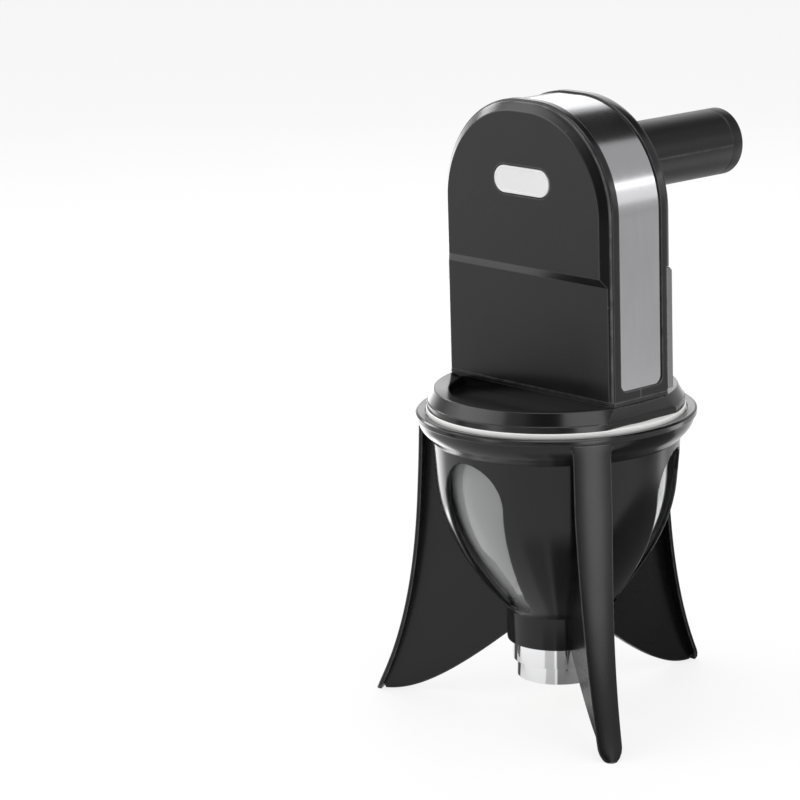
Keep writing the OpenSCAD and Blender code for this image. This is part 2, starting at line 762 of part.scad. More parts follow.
module battery_door() {
  half = tower_half_w - back_slope * (door_face_y - case_back);
  section = [[tower_half_w, -case_back], [half + 0.5 * back_slope, -door_face_y + 0.5],
    [half - 0.5, -door_face_y]];
  outline = concat(section, backwards([for (p = section) [-p[0], p[1]]]));
  side = [[case_back, door_bottom_z], [door_face_y - 0.4, door_bottom_z], [door_face_y, door_bottom_z + 0.6],
    [door_face_y, door_top_z - 2.4], [back_face_y, door_top_z], [case_back, door_top_z]];
  color(black)
    union() {
      difference() {
        intersection() {
          translate([0, 0, door_bottom_z])
            linear_extrude(door_top_z - door_bottom_z)
              mirror([0, 1])
                polygon(outline);
          rotate([90, 0, 90])
            linear_extrude(3 * half, center = true)
              polygon(side);
        }
        translate([-half + 6, case_back - 1, door_bottom_z + 4])
          cube([2 * half - 12, door_face_y - case_back - 1.2, door_top_z - door_bottom_z - 12]);
        for (p = case_screws)
          if (p[1] < door_top_z)
            translate([p[0], case_back - 1, p[1]])
              rotate([-90, 0, 0])
                cylinder(r = 3.2, h = 2.6, $fn = 32);
      }
      for (s = [-1, 1])
        translate([s * latch_x - 2, case_back - 2.2, door_top_z - 9])
          cube([4, 2.4, 2]);
    }
}

// Battery bay -------------------------------------------------------------

module battery_trays() {
  color(dark)
    for (s = [-1, 1])
      difference() {
        translate([s * tray_x - tray_half_w, -tray_front, tray_low_z])
          cube([2 * tray_half_w, tray_back + tray_front, tray_h]);
        translate([s * tray_x - tray_half_w + tray_wall, tray_wall - tray_front, tray_low_z + tray_wall])
          cube([2 * (tray_half_w - tray_wall), 40, tray_h - 2 * tray_wall]);
      }
}

module batteries() {
  color([0.2, 0.45, 0.35])
    for (s = [-1, 1], k = [-0.5, 0.5])
      translate([s * tray_x + k * battery_pitch, battery_y, cell_z])
        rotate_extrude($fn = 48)
          polygon([[0, 0], [battery_r - 0.5, 0], [battery_r, 0.5], [battery_r, battery_len - 1.6],
            [battery_r - 0.5, battery_len - 1.1], [2.7, battery_len - 1.1], [2.7, battery_len], [0, battery_len]]);
}

module battery_contacts() {
  low = tray_low_z + tray_wall;
  high = tray_low_z + tray_h - tray_wall - contact_t;
  color(steel)
    for (s = [-1, 1]) {
      for (k = [-0.5, 0.5])
        translate([s * tray_x + k * battery_pitch, battery_y, 0]) {
          translate([-6, -6, low])
            cube([12, 12, contact_t]);
          translate([0, 0, low + contact_t - eps])
            cylinder(r1 = 5, r2 = 3, h = spring_h - 0.05 + eps, $fn = 32);
        }
      translate([s * tray_x - battery_pitch / 2 - 6, battery_y - 6, high])
        cube([battery_pitch + 12, 12, contact_t]);
    }
}

// Handle --------------------------------------------------------------------

module handle_half(up) {
  s = up ? 1 : -1;
  color(black)
    translate([0, 0, handle_z])
      rotate([-90, 0, 0])
        difference() {
          union() {
            rotate_extrude()
              polygon([[handle_r - handle_t, handle_root], [handle_r - 0.5, handle_root], [handle_r, handle_root + 0.5],
                [handle_r, cap_y - 0.2], [handle_r - 0.3, cap_y - 0.1], [handle_r - handle_t, cap_y - 0.1]]);
            rotate_extrude()
              polygon([[motor_r + 0.1, handle_root + 2], [motor_r + 0.1, back_face_y - case_t - 2.4],
                [spigot_r + 1.6, back_face_y - case_t - 2.4], [spigot_r + 1.6, back_face_y - case_t],
                [spigot_r, back_face_y - case_t], [spigot_r, handle_root], [handle_r - 1, handle_root],
                [handle_r - 1, handle_root + 2]]);
            for (y = [motor_face_y + 8, motor_face_y + 18, motor_face_y + gearbox_len + 8,
              motor_face_y + gearbox_len + 22])
              translate([0, 0, y])
                rotate_extrude()
                  polygon([[motor_r + 0.1, 0], [handle_r - 1, 0], [handle_r - 1, saddle_t], [motor_r + 0.1, saddle_t]]);
            for (y = grip_screws)
              translate([0, 0, y])
                rotate([s * 90, 0, 0])
                  cylinder(r = 3.6, h = handle_r - 1, $fn = 48);
          }
          translate([-30, up ? 0 : -60, 0])
            cube([60, 60, 200]);
          for (y = grip_screws)
            translate([0, 0, y])
              rotate([s * 90, 0, 0]) {
                if (up)
                  cylinder(r = 1.52, h = 9);
                else {
                  translate([0, 0, -1])
                    cylinder(r = 1.7, h = handle_r + 2);
                  translate([0, 0, 8])
                    cylinder(r = 3, h = handle_r);
                }
              }
        }
}

module handle_upper_shell() handle_half(true);
module handle_lower_shell() handle_half(false);

module handle_end_cap() {
  inner = handle_r - handle_t - fit_gap;
  color(dark)
    translate([0, 0, handle_z])
      rotate([-90, 0, 0])
        rotate_extrude()
          polygon([[inner - 1.6, cap_y - 8], [inner, cap_y - 8], [inner, cap_y], [handle_r, cap_y],
            [handle_r, handle_end - 1.4], [handle_r - 0.4, handle_end - 0.4], [handle_r - 1.4, handle_end],
            [0, handle_end], [0, handle_end - 2], [inner - 1.6, handle_end - 2]]);
}

module handle_screws() {
  color(steel)
    for (y = grip_screws)
      translate([0, y, handle_z])
        rotate([180, 0, 0])
          rotate_extrude($fn = 32)
            polygon([[0, -8.5], [1.5, -8.5], [1.5, 8], [2.7, 8], [2.7, 9.2], [1.8, 10], [0, 10]]);
}

// Drive -----------------------------------------------------------------------

function tooth_half(m, n, r) = let (rb = m * n / 2 * cos(20), rr = max(r, rb), a = acos(rb / rr))
  90 / n + (tan(20) * 180 / PI - 20) - (tan(a) * 180 / PI - a) - backlash / (m * n / 2) * 180 / PI;

function gear_points(m, n) = let (
    rp = m * n / 2,
    rf = rp - root * m,
    ra = rp + stub * m,
    rs = max(rf, rp * cos(20)),
    flank = [for (k = [0:3]) rs + (ra - rs) * k / 3])
  [for (i = [0:n - 1]) each concat(
    [[rf, i * 360 / n - tooth_half(m, n, rs) - 4 / n]],
    [for (r = flank) [r, i * 360 / n - tooth_half(m, n, r)]],
    [for (k = [3:-1:0]) [flank[k], i * 360 / n + tooth_half(m, n, flank[k])]],
    [[rf, i * 360 / n + tooth_half(m, n, rs) + 4 / n]])];

module gear_form(m, n, t, turn) {
  p = gear_points(m, n);
  rotate([90, 0, 0])
    linear_extrude(t)
      polygon([for (q = p) q[0] * [cos(q[1] + turn), sin(q[1] + turn)]]);
}

module motor_pinion() {
  color(steel)
    translate([0, 0, handle_z])
      union() {
        translate([0, wheel_y + wheel_t + 0.4, 0])
          gear_form(stage_module, motor_teeth, wheel_t + 0.4, mesh_angle + 180 + 180 / motor_teeth);
        translate([0, wheel_y, 0])
          rotate([-90, 0, 0])
            cylinder(r = shaft_r, h = motor_face_y - wheel_y + 7);
      }
}

module compound_gear() {
  color([0.9, 0.9, 0.86])
    translate([gear_x, 0, gear_z])
      difference() {
        union() {
          translate([0, wheel_y + wheel_t, 0])
            gear_form(stage_module, wheel_teeth, wheel_t, mesh_angle);
          translate([0, wheel_y + eps, 0])
            gear_form(rack_module, pinion_teeth, wheel_y + rack_half_w + 0.5, 0);
          translate([0, wheel_y, 0])
            rotate([-90, 0, 0])
              cylinder(r = 4, h = wheel_t + 0.8);
        }
        rotate([90, 0, 0])
          cylinder(r = axle_r + running_gap, h = 60, center = true);
        for (a = [0:60:300])
          rotate([0, -a, 0])
            translate([11.8, wheel_y + wheel_t + 1, 0])
              rotate([90, 0, 0])
                cylinder(r = 2.4, h = wheel_t + 2, $fn = 32);
      }
}

module gear_axle() {
  low = case_front - case_t;
  color(steel)
    translate([gear_x, -low, gear_z])
      rotate([-90, 0, 0])
        cylinder(r = axle_r, h = low + back_face_y - case_t - 0.2);
}

module rack_guide() {
  low = case_front - case_t;
  color(white)
    translate([rack_back_x + running_gap, -low, gear_z - 7.5])
      cube([5, low + rack_half_w, 15]);
}

module plunger_rod() {
  pitch = PI * rack_module;
  half_t = pitch / 4 - backlash;
  lean = tan(20);
  tip = stub * rack_module;
  dip = root * rack_module;
  count = floor((rack_high_z - rack_low_z) / pitch / 2);
  centres = [for (k = [-2 * count:2 * count]) gear_z + (k + 0.5) * pitch];
  used = [for (z = centres) if (z > rack_low_z + 2 && z < rack_high_z - 2) z];
  teeth = [for (z = used) each [
    [rack_line_x + dip, z - half_t - dip * lean], [rack_line_x - tip, z - half_t + tip * lean],
    [rack_line_x - tip, z + half_t - tip * lean], [rack_line_x + dip, z + half_t + dip * lean]]];
  outline = concat([[rack_line_x + dip, rack_low_z]], teeth,
    [[rack_line_x + dip, rack_high_z], [rack_back_x, rack_high_z], [rack_back_x, rack_low_z]]);
  color(steel)
    union() {
      translate([0, rack_half_w, 0])
        rotate([90, 0, 0])
          linear_extrude(2 * rack_half_w)
            polygon(outline);
      translate([0, 0, piston_low_z + 5])
        cylinder(r = rod_r, h = rack_low_z - piston_low_z - 5 + 1);
    }
}

module piston() {
  top = piston_low_z + piston_h;
  ring_z = piston_low_z + 5;
  color([0.8, 0.8, 0.78])
    rotate_extrude()
      polygon([[0, piston_low_z], [piston_r - 1, piston_low_z], [piston_r, piston_low_z + 1],
        [piston_r, ring_z], [piston_r - groove_t, ring_z], [piston_r - groove_t, ring_z + 2.6],
        [piston_r, ring_z + 2.6],
        [piston_r, top - 5], [rod_r + 3, top], [rod_r + 0.05, top], [rod_r + 0.05, piston_low_z + 5],
        [0, piston_low_z + 5]]);
}

module piston_ring() {
  ring_z = piston_low_z + 5;
  color([0.75, 0.3, 0.25])
    translate([0, 0, ring_z + 1.3])
      rotate_extrude()
        translate([piston_r + piston_gap / 2 - ring_wire_r, 0])
          circle(ring_wire_r);
}

// Button and board -------------------------------------------------------------

module power_button() {
  wall = back_face_y - case_t;
  color([0.3, 0.3, 0.32])
    translate([0, 0, button_z])
      rotate([-90, 0, 0])
        rotate_extrude()
          polygon([[0, board_y + board_t + 3.9], [2, board_y + board_t + 3.9], [2, wall - 1.6], [button_r + 1, wall - 1.6],
            [button_r + 1, wall - 0.3], [button_r, wall - 0.3], [button_r, back_face_y + 1.2],
            [button_r - 0.6, back_face_y + 1.8], [0, back_face_y + 2.2]]);
}

module control_board() {
  color([0.1, 0.4, 0.25])
    union() {
      translate([-board_w / 2, board_y, button_z - board_drop])
        cube([board_w, board_t, board_drop + board_top]);
      translate([-switch_w / 2, board_y + board_t - eps, button_z - switch_w / 2])
        cube([switch_w, 1.8, switch_w]);
      translate([0, board_y + board_t, button_z])
        rotate([-90, 0, 0])
          cylinder(r = 1.6, h = 3.6 - button_travel + 0.1, $fn = 32);
      translate([-board_w / 3, board_y - 1.8, button_z - board_drop + 2])
        cube([board_w / 3, 1.8 + eps, 5]);
    }
}

module housing_screws() {
  low_wall = case_back - case_t;
  color(steel)
    for (p = case_screws)
      translate([p[0], 0, p[1]])
        rotate([-90, 0, 0])
          rotate_extrude($fn = 32)
            polygon([[0, -9], [1.5, -8], [1.5, low_wall - 2], [2.7, low_wall - 2], [2.7, low_wall - 0.9],
              [1.8, low_wall - 0.1], [0, low_wall - 0.1]]);
}

bowl_shell();
leg_left();
leg_right();
leg_rear();
clear_hopper();
seal_ring();
nozzle_sleeve();
nozzle_tube();
lid();
rod_bush();
front_shell();
back_shell();
front_cover();
badge();
steel_band();
battery_door();
battery_trays();
batteries();
battery_contacts();
handle_upper_shell();
handle_lower_shell();
handle_end_cap();
gearmotor();
motor_pinion();
compound_gear();
gear_axle();
rack_guide();
plunger_rod();
piston();
piston_ring();
power_button();
control_board();
housing_screws();
lid_screws();
handle_screws();

module gearmotor() {
  color([0.5, 0.5, 0.5])
    translate([0, motor_face_y, handle_z])
      rotate([-90, 0, 0])
        rotate_extrude()
          polygon([[shaft_r + running_gap, 0], [motor_r - 0.5, 0], [motor_r, 0.5], [motor_r, gearbox_len],
            [motor_r - 0.5, gearbox_len], [motor_r - 0.5, gearbox_len + 0.5], [motor_r, gearbox_len + 1],
            [motor_r, gearbox_len + motor_len - 1], [motor_r - 1, gearbox_len + motor_len],
            [3, gearbox_len + motor_len], [3, gearbox_len + motor_len + 1.5], [0, gearbox_len + motor_len + 1.5],
            [0, 7.3], [shaft_r + running_gap, 7.3]]);
}
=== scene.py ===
import math
import bmesh
import bpy
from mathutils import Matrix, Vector


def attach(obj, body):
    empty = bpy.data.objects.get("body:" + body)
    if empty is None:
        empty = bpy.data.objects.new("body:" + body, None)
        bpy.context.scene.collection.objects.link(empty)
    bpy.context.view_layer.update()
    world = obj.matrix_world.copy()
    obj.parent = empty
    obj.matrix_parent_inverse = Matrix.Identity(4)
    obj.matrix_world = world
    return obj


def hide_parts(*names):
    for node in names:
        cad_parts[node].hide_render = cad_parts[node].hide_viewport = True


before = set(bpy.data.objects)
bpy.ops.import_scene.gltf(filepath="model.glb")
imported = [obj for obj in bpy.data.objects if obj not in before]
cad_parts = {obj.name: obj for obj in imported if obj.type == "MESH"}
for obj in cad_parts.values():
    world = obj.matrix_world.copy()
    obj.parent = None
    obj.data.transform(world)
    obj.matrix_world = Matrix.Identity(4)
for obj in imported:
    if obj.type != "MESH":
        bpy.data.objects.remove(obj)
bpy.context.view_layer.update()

mm = 0.001


# small helpers, for working as by hand
def clearSelection():
    if bpy.context.object and bpy.context.object.mode != "OBJECT":
        bpy.ops.object.mode_set(mode="OBJECT")
    bpy.ops.object.select_all(action="DESELECT")


def pickOnly(piece):
    clearSelection()
    piece.select_set(True)
    bpy.context.view_layer.objects.active = piece


def openMesh(piece, selection="SELECT"):
    pickOnly(piece)
    bpy.ops.object.mode_set(mode="EDIT")
    bpy.ops.mesh.select_mode(type="VERT")
    bpy.ops.mesh.select_all(action=selection)


def closeMesh():
    bpy.ops.object.mode_set(mode="OBJECT")


def settle(piece):
    pickOnly(piece)
    bpy.ops.object.transform_apply(location=True, rotation=True, scale=True)


def tidyMesh(piece):
    openMesh(piece)
    bpy.ops.mesh.remove_doubles(threshold=0.001 * mm)
    bpy.ops.mesh.normals_make_consistent(inside=False)
    closeMesh()


def applyModifier(piece, kind, **settings):
    pickOnly(piece)
    modifier = piece.modifiers.new(kind.title(), kind)
    for key, value in settings.items():
        setattr(modifier, key, value)
    bpy.ops.object.modifier_apply(modifier=modifier.name)


def combine(piece, tool, operation):
    applyModifier(piece, "BOOLEAN", object=tool, operation=operation, solver="EXACT")
    bpy.data.objects.remove(tool)


def drawOutline(name, points, closed=True, filled=False):
    # a tiny plane is merged to its first point, then led along the outline
    clearSelection()
    bpy.ops.mesh.primitive_plane_add(size=mm, location=points[0])
    piece = bpy.context.object
    piece.name = name
    piece.data.name = name
    openMesh(piece)
    bpy.ops.mesh.merge(type="CENTER")
    for before, after in zip(points, points[1:]):
        step = Vector(after) - Vector(before)
        bpy.ops.mesh.extrude_region_move(TRANSFORM_OT_translate={"value": step})
    if closed:
        mesh = bmesh.from_edit_mesh(piece.data)
        for vertex in mesh.verts:
            vertex.select_set(filled or len(vertex.link_edges) == 1)
        bmesh.update_edit_mesh(piece.data)
        bpy.ops.mesh.edge_face_add()
    closeMesh()
    settle(piece)
    return piece


def softCorners(corners, arcSteps=5):
    # a corner is (a, b) or (a, b, radius), in millimetres
    outline = []
    for i, corner in enumerate(corners):
        here = Vector(corner[:2])
        if len(corner) < 3:
            outline.append(here)
            continue
        before = Vector(corners[i - 1][:2]) - here
        after = Vector(corners[(i + 1) % len(corners)][:2]) - here
        half = before.angle(after) / 2
        room = 0.49 * min(before.length, after.length)
        reach = min(corner[2] / math.tan(half), room)
        radius = reach * math.tan(half)
        before.normalize()
        after.normalize()
        centre = here + (before + after).normalized() * radius / math.sin(half)
        start, end = here + before * reach - centre, here + after * reach - centre
        for k in range(arcSteps + 1):
            outline.append(centre + start.lerp(end, k / arcSteps).normalized() * radius)
    return outline


def turnProfile(name, corners, segments=160, closed=True, axis="Z", height=0):
    # corners are (radius, distance along the axis), and the axis passes through x = 0, z = height
    if axis == "Z":
        points = [(p[0] * mm, 0, p[1] * mm) for p in softCorners(corners)]
    else:
        points = [(p[0] * mm, p[1] * mm, height * mm) for p in softCorners(corners)]
    piece = drawOutline(name, points, closed)
    openMesh(piece)
    direction = (0, 0, 1) if axis == "Z" else (0, 1, 0)
    centre = (0, 0, height * mm)
    bpy.ops.mesh.spin(steps=segments, angle=math.tau, center=centre, axis=direction)
    closeMesh()
    tidyMesh(piece)
    return piece


def pushOut(name, points, step):
    piece = drawOutline(name, points, True, True)
    openMesh(piece)
    bpy.ops.mesh.extrude_region_move(TRANSFORM_OT_translate={"value": step})
    closeMesh()
    tidyMesh(piece)
    return piece


def bevelWhere(piece, test, width, segments=3, sharp=20):
    openMesh(piece, "DESELECT")
    bpy.ops.mesh.select_mode(type="EDGE")
    mesh = bmesh.from_edit_mesh(piece.data)
    for edge in mesh.edges:
        if len(edge.link_faces) == 2 and edge.calc_face_angle(0) > math.radians(sharp):
            middle = (edge.verts[0].co + edge.verts[1].co) / 2 / mm
            edge.select_set(bool(test(middle, edge)))
    bmesh.update_edit_mesh(piece.data)
    bpy.ops.mesh.bevel(offset=width * mm, segments=segments, affect="EDGES", clamp_overlap=False)
    bpy.ops.mesh.select_mode(type="VERT")
    closeMesh()


def copyNode(node, name):
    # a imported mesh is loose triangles, so its copy is merged and the flat faces are joined
    pickOnly(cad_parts[node])
    bpy.ops.object.duplicate()
    piece = bpy.context.object
    piece.parent = None
    for key in list(piece.keys()):
        del piece[key]
    piece.name = name
    piece.data.name = name
    piece.data.materials.clear()
    bpy.ops.mesh.customdata_custom_splitnormals_clear()
    openMesh(piece)
    bpy.ops.mesh.remove_doubles(threshold=0.005 * mm)
    bpy.ops.mesh.dissolve_limited(angle_limit=math.radians(0.6))
    closeMesh()
    return piece


def finishPiece(piece, body, nodes, finish, smooth=32, even=False):
    settle(piece)
    bpy.ops.object.shade_smooth_by_angle(angle=math.radians(smooth))
    if even:
        applyModifier(piece, "WEIGHTED_NORMAL", keep_sharp=True)
    piece.data.materials.clear()
    piece.data.materials.append(finish)
    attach(piece, body)
    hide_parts(*nodes)


def bezierPoint(p, t):
    a, b, c, d = [Vector(q) for q in p]
    return (1 - t) ** 3 * a + 3 * (1 - t) ** 2 * t * b + 3 * (1 - t) * t * t * c + t ** 3 * d


def bezierSlope(p, t):
    a, b, c, d = [Vector(q) for q in p]
    return (1 - t) ** 2 * (b - a) + 2 * (1 - t) * t * (c - b) + t * t * (d - c)


def insidePoint(p, t, depth):
    slope = bezierSlope(p, t).normalized()
    return bezierPoint(p, t) + depth * Vector((slope.y, -slope.x))


def smoothPath(points, steps=5):
    # an even curve through the given points
    points = [Vector(p) for p in points]
    path = []
    for i in range(len(points) - 1):
        a, b = points[max(i - 1, 0)], points[i]
        c, d = points[i + 1], points[min(i + 2, len(points) - 1)]
        for k in range(steps):
            t = k / steps
            path.append(0.5 * (2 * b + (c - a) * t + (2 * a - 5 * b + 4 * c - d) * t * t
                               + (3 * b - a - 3 * c + d) * t ** 3))
    return path + [points[-1]]


# small helpers for the nodes of a finish
def startFinish(name):
    finish = bpy.data.materials.new(name)
    finish.use_nodes = True
    nodes, links = finish.node_tree.nodes, finish.node_tree.links
    return finish, nodes, links, nodes["Principled BSDF"]


def addMath(nodes, links, operation, *terms, clamp=False):
    # each term is another node's output or a plain number
    result = nodes.new("ShaderNodeMath")
    result.operation = operation
    result.use_clamp = clamp
    for socket, term in zip(result.inputs, terms):
        if isinstance(term, bpy.types.NodeSocket):
            links.new(term, socket)
        else:
            socket.default_value = term
    return result.outputs["Value"]


def addNoise(nodes, links, coords, scale, detail=3, stretch=(1, 1, 1)):
    # scale is in features per metre
    mapping = nodes.new("ShaderNodeMapping")
    mapping.inputs["Scale"].default_value = stretch
    links.new(coords.outputs["Object"], mapping.inputs["Vector"])
    noise = nodes.new("ShaderNodeTexNoise")
    noise.inputs["Scale"].default_value = scale
    noise.inputs["Detail"].default_value = detail
    links.new(mapping.outputs["Vector"], noise.inputs["Vector"])
    return noise.outputs["Fac"]


def addRange(nodes, links, source, low, high, fromLow=0.3, fromHigh=0.7):
    spread = nodes.new("ShaderNodeMapRange")
    spread.inputs["From Min"].default_value = fromLow
    spread.inputs["From Max"].default_value = fromHigh
    spread.inputs["To Min"].default_value = low
    spread.inputs["To Max"].default_value = high
    links.new(source, spread.inputs["Value"])
    return spread.outputs["Result"]


def addTint(nodes, links, share, first, second):
    # blends two colours, the first of which may be another node's output
    tint = nodes.new("ShaderNodeMix")
    tint.data_type = "RGBA"
    links.new(share, tint.inputs["Factor"])
    if isinstance(first, bpy.types.NodeSocket):
        links.new(first, tint.inputs["A"])
    else:
        tint.inputs["A"].default_value = (*first, 1)
    tint.inputs["B"].default_value = (*second, 1)
    return tint.outputs["Result"]


def addBump(nodes, links, source, shader, strength, depth):
    bump = nodes.new("ShaderNodeBump")
    bump.inputs["Strength"].default_value = strength
    bump.inputs["Distance"].default_value = depth * mm
    links.new(source, bump.inputs["Height"])
    links.new(bump.outputs["Normal"], shader.inputs["Normal"])


def addRamp(nodes, links, source, stops):
    ramp = nodes.new("ShaderNodeValToRGB")
    while len(ramp.color_ramp.elements) < len(stops):
        ramp.color_ramp.elements.new(0.5)
    for element, (place, colour) in zip(ramp.color_ramp.elements, stops):
        element.position = place
        element.color = (*colour, 1)
    links.new(source, ramp.inputs["Fac"])
    return ramp


cameraSettings = dict(
    place=(1.212305, -1.181513, 0.573788),
    turn=(76.4423, 1.6228, 48.0786),
    lens=151.02,
    sensor=36,
)


def addCamera(s):
    clearSelection()
    bpy.ops.object.camera_add(location=s["place"], rotation=[math.radians(a) for a in s["turn"]])
    camera = bpy.context.object
    camera.data.lens = s["lens"]
    camera.data.sensor_width = s["sensor"]
    camera.data.clip_end = 50
    bpy.context.scene.camera = camera


floorSettings = dict(
    size=24,
    colour=(0.86, 0.86, 0.86, 1),
    roughness=0.6,
    whiteSeen=0.8,
    whiteMirrored=0.4,
    paintedReflectionHeight=0.2,
)

# painted reflections: patches round the studio, painted darker below 1 and glowing above it, which
# only glossy rays see
paintedReflectionCards = [
    # name, azimuth and elevation of the middle, inner and outer reach in degrees, tone
    ("besideCamera", -54, 3, 16, 20, 0.05),
    ("aboveCamera", -52, 32, 12, 24, 0.12),
    ("backAbove", 95.5, 47, 16, 19, 0.04),
    ("frontLow", -134, -16, 2, 6.5, 0.25),
    ("underRight", 48, -52, 25, 29, 0.2),
    ("leftGlow", 165, -16, 12, 30, 3.0),
    ("leftFrontGlow", -138, 22, 18, 31, 2.2),
    ("rightGlow", -18, -4, 12, 19, 4.0),
    ("frontGlow", -98, -7, 5, 13, 3.5),
    ("backRightGlow", 66, -14, 6, 13, 3.5),
    ("ribShade", -36, -11, 7, 11, 0.3),
    ("paneEdgeGlow", -178, -42, 5, 11, 3.5),
    ("bandShade", 43, -9.5, 3, 8, 0.68),
]

# painted reflections in strips round the foot of the machine, seen only by glossy rays, which the
# nozzle picks up
paintedFloorStrips = dict(
    reach=0.19,
    fade=0.07,
    # turn in degrees from the machine's left side, tone
    strips=[(0, 0.1), (17, 0.1), (20, 1), (101, 1), (103, 0.6), (122, 0.6), (124, 1), (127, 1),
            (129, 0.24), (178, 0.3), (180, 0.05), (190, 0.05), (193, 1), (357, 1), (359, 0.1)],
)


def addPaintedReflections(nodes, links, direction, start):
    # multiplies a tone by each painted reflection patch that lies in the given direction
    tone = start
    for name, azimuth, elevation, inner, outer, left in paintedReflectionCards:
        around, up = math.radians(azimuth), math.radians(elevation)
        middle = (math.cos(around) * math.cos(up), math.sin(around) * math.cos(up), math.sin(up))
        facing = nodes.new("ShaderNodeVectorMath")
        facing.label = name
        facing.operation = "DOT_PRODUCT"
        facing.inputs[1].default_value = middle
        links.new(direction, facing.inputs[0])
        paintedPatch = nodes.new("ShaderNodeMapRange")
        paintedPatch.interpolation_type = "SMOOTHSTEP"
        paintedPatch.inputs["From Min"].default_value = math.cos(math.radians(outer))
        paintedPatch.inputs["From Max"].default_value = math.cos(math.radians(inner))
        paintedPatch.inputs["To Min"].default_value = 1
        paintedPatch.inputs["To Max"].default_value = left
        links.new(facing.outputs["Value"], paintedPatch.inputs["Value"])
        tone = addMath(nodes, links, "MULTIPLY", tone, paintedPatch.outputs["Result"])
    return tone


def addPaintedStrips(nodes, links, place, start, s):
    # multiplies a tone by the painted reflection strips, which end softly at their reach
    around = nodes.new("ShaderNodeTexGradient")
    around.gradient_type = "RADIAL"
    links.new(place, around.inputs["Vector"])
    stops = [(turn / 360, (tone, tone, tone)) for turn, tone in s["strips"]]
    ramp = addRamp(nodes, links, around.outputs["Fac"], stops)
    away = nodes.new("ShaderNodeVectorMath")
    away.operation = "LENGTH"
    links.new(place, away.inputs[0])
    near = addRange(nodes, links, away.outputs["Value"], 1, 0, s["reach"] - s["fade"], s["reach"])
    paintedStripShare = nodes.new("ShaderNodeMix")
    links.new(near, paintedStripShare.inputs["Factor"])
    paintedStripShare.inputs["A"].default_value = 1
    links.new(ramp.outputs["Color"], paintedStripShare.inputs["B"])
    return addMath(nodes, links, "MULTIPLY", start, paintedStripShare.outputs["Result"])


def mixSurfaces(nodes, links, share, first, second):
    both = nodes.new("ShaderNodeMixShader")
    links.new(share, both.inputs["Fac"])
    links.new(first, both.inputs[1])
    links.new(second, both.inputs[2])
    return both.outputs["Shader"]


def addFloor(s):
    clearSelection()
    bpy.ops.mesh.primitive_plane_add(size=s["size"], location=(0, 0, 0))
    floor = bpy.context.object
    floor.name = "floor"
    finish, nodes, links, shader = startFinish("paleFloor")
    shader.inputs["Base Color"].default_value = s["colour"]
    shader.inputs["Roughness"].default_value = s["roughness"]
    # looked at straight or through clear plastic the floor is near white, in gloss a little less
    rays = nodes.new("ShaderNodeLightPath")
    glossy = rays.outputs["Is Glossy Ray"]
    straight = addMath(nodes, links, "MAXIMUM",
                       rays.outputs["Is Camera Ray"], rays.outputs["Is Transmission Ray"])
    mirrored = addMath(nodes, links, "MULTIPLY", glossy, s["whiteMirrored"])
    share = addMath(nodes, links, "MULTIPLY_ADD", straight, s["whiteSeen"], mirrored, clamp=True)
    white = nodes.new("ShaderNodeEmission").outputs["Emission"]
    surface = mixSurfaces(nodes, links, share, shader.outputs["BSDF"], white)
    # painted reflections: the floor's emission is darkened or made to glow in set directions, and
    # only glossy rays see it
    geometry = nodes.new("ShaderNodeNewGeometry")
    outward = nodes.new("ShaderNodeVectorMath")
    outward.operation = "SUBTRACT"
    outward.inputs[1].default_value = (0, 0, s["paintedReflectionHeight"])
    links.new(geometry.outputs["Position"], outward.inputs[0])
    direction = nodes.new("ShaderNodeVectorMath")
    direction.operation = "NORMALIZE"
    links.new(outward.outputs["Vector"], direction.inputs[0])
    tone = addPaintedReflections(nodes, links, direction.outputs["Vector"], 1)
    tone = addPaintedStrips(nodes, links, geometry.outputs["Position"], tone, paintedFloorStrips)
    paintedDarkening = addMath(nodes, links, "SUBTRACT", 1, tone, clamp=True)
    paintedDarkening = addMath(nodes, links, "MULTIPLY", paintedDarkening, glossy)
    dark = nodes.new("ShaderNodeEmission")
    dark.inputs["Strength"].default_value = 0
    surface = mixSurfaces(nodes, links, paintedDarkening, surface, dark.outputs["Emission"])
    paintedGlowing = addMath(nodes, links, "SUBTRACT", tone, 1)
    paintedGlowing = addMath(nodes, links, "MULTIPLY", paintedGlowing, glossy)
    paintedGlowing = addMath(nodes, links, "MAXIMUM", paintedGlowing, 0)
    glow = nodes.new("ShaderNodeEmission")
    links.new(paintedGlowing, glow.inputs["Strength"])
    total = nodes.new("ShaderNodeAddShader")
    links.new(surface, total.inputs[0])
    links.new(glow.outputs["Emission"], total.inputs[1])
    links.new(total.outputs["Shader"], nodes["Material Output"].inputs["Surface"])
    floor.data.materials.append(finish)


lampSettings = [
    # name, place, aimed at, size, watts
    ("keySoftbox", (-1.5, -1.7, 1.9), (0, 0, 0.18), (3.0, 1.7), 32),
    ("overheadSoftbox", (0.25, -0.1, 2.1), (0, 0, 0.1), (1.5, 1.2), 14),
    ("rightBackPanel", (1.26, 1.36, 0.55), (0.05, 0, 0.27), (0.9, 0.5), 1.3),
    ("rightBackStrip", (1.22, 1.31, 0.76), (0.05, 0, 0.28), (0.9, 0.14), 1),
    ("leftBackSoftbox", (-1.05, 1.3, 0.95), (0, 0, 0.3), (1.1, 0.9), 4.6),
    ("leftStrip", (-1.6, 0.1, 0.95), (0, 0, 0.3), (0.5, 0.35), 3.5),
    ("rightSoftbox", (1.49, -0.42, 1.4), (0, 0, 0.1), (1.2, 0.6), 5.5),
]

worldSettings = dict(
    strength=0.62,
    mirrored=0.7,
)


def addLamps(lamps):
    for name, place, target, size, watts in lamps:
        clearSelection()
        bpy.ops.object.light_add(type="AREA", location=place)
        lamp = bpy.context.object
        lamp.name = name
        lamp.data.shape = "RECTANGLE"
        lamp.data.size, lamp.data.size_y = size
        lamp.data.energy = watts
        lamp.rotation_euler = (Vector(target) - Vector(place)).to_track_quat("-Z", "Y").to_euler()


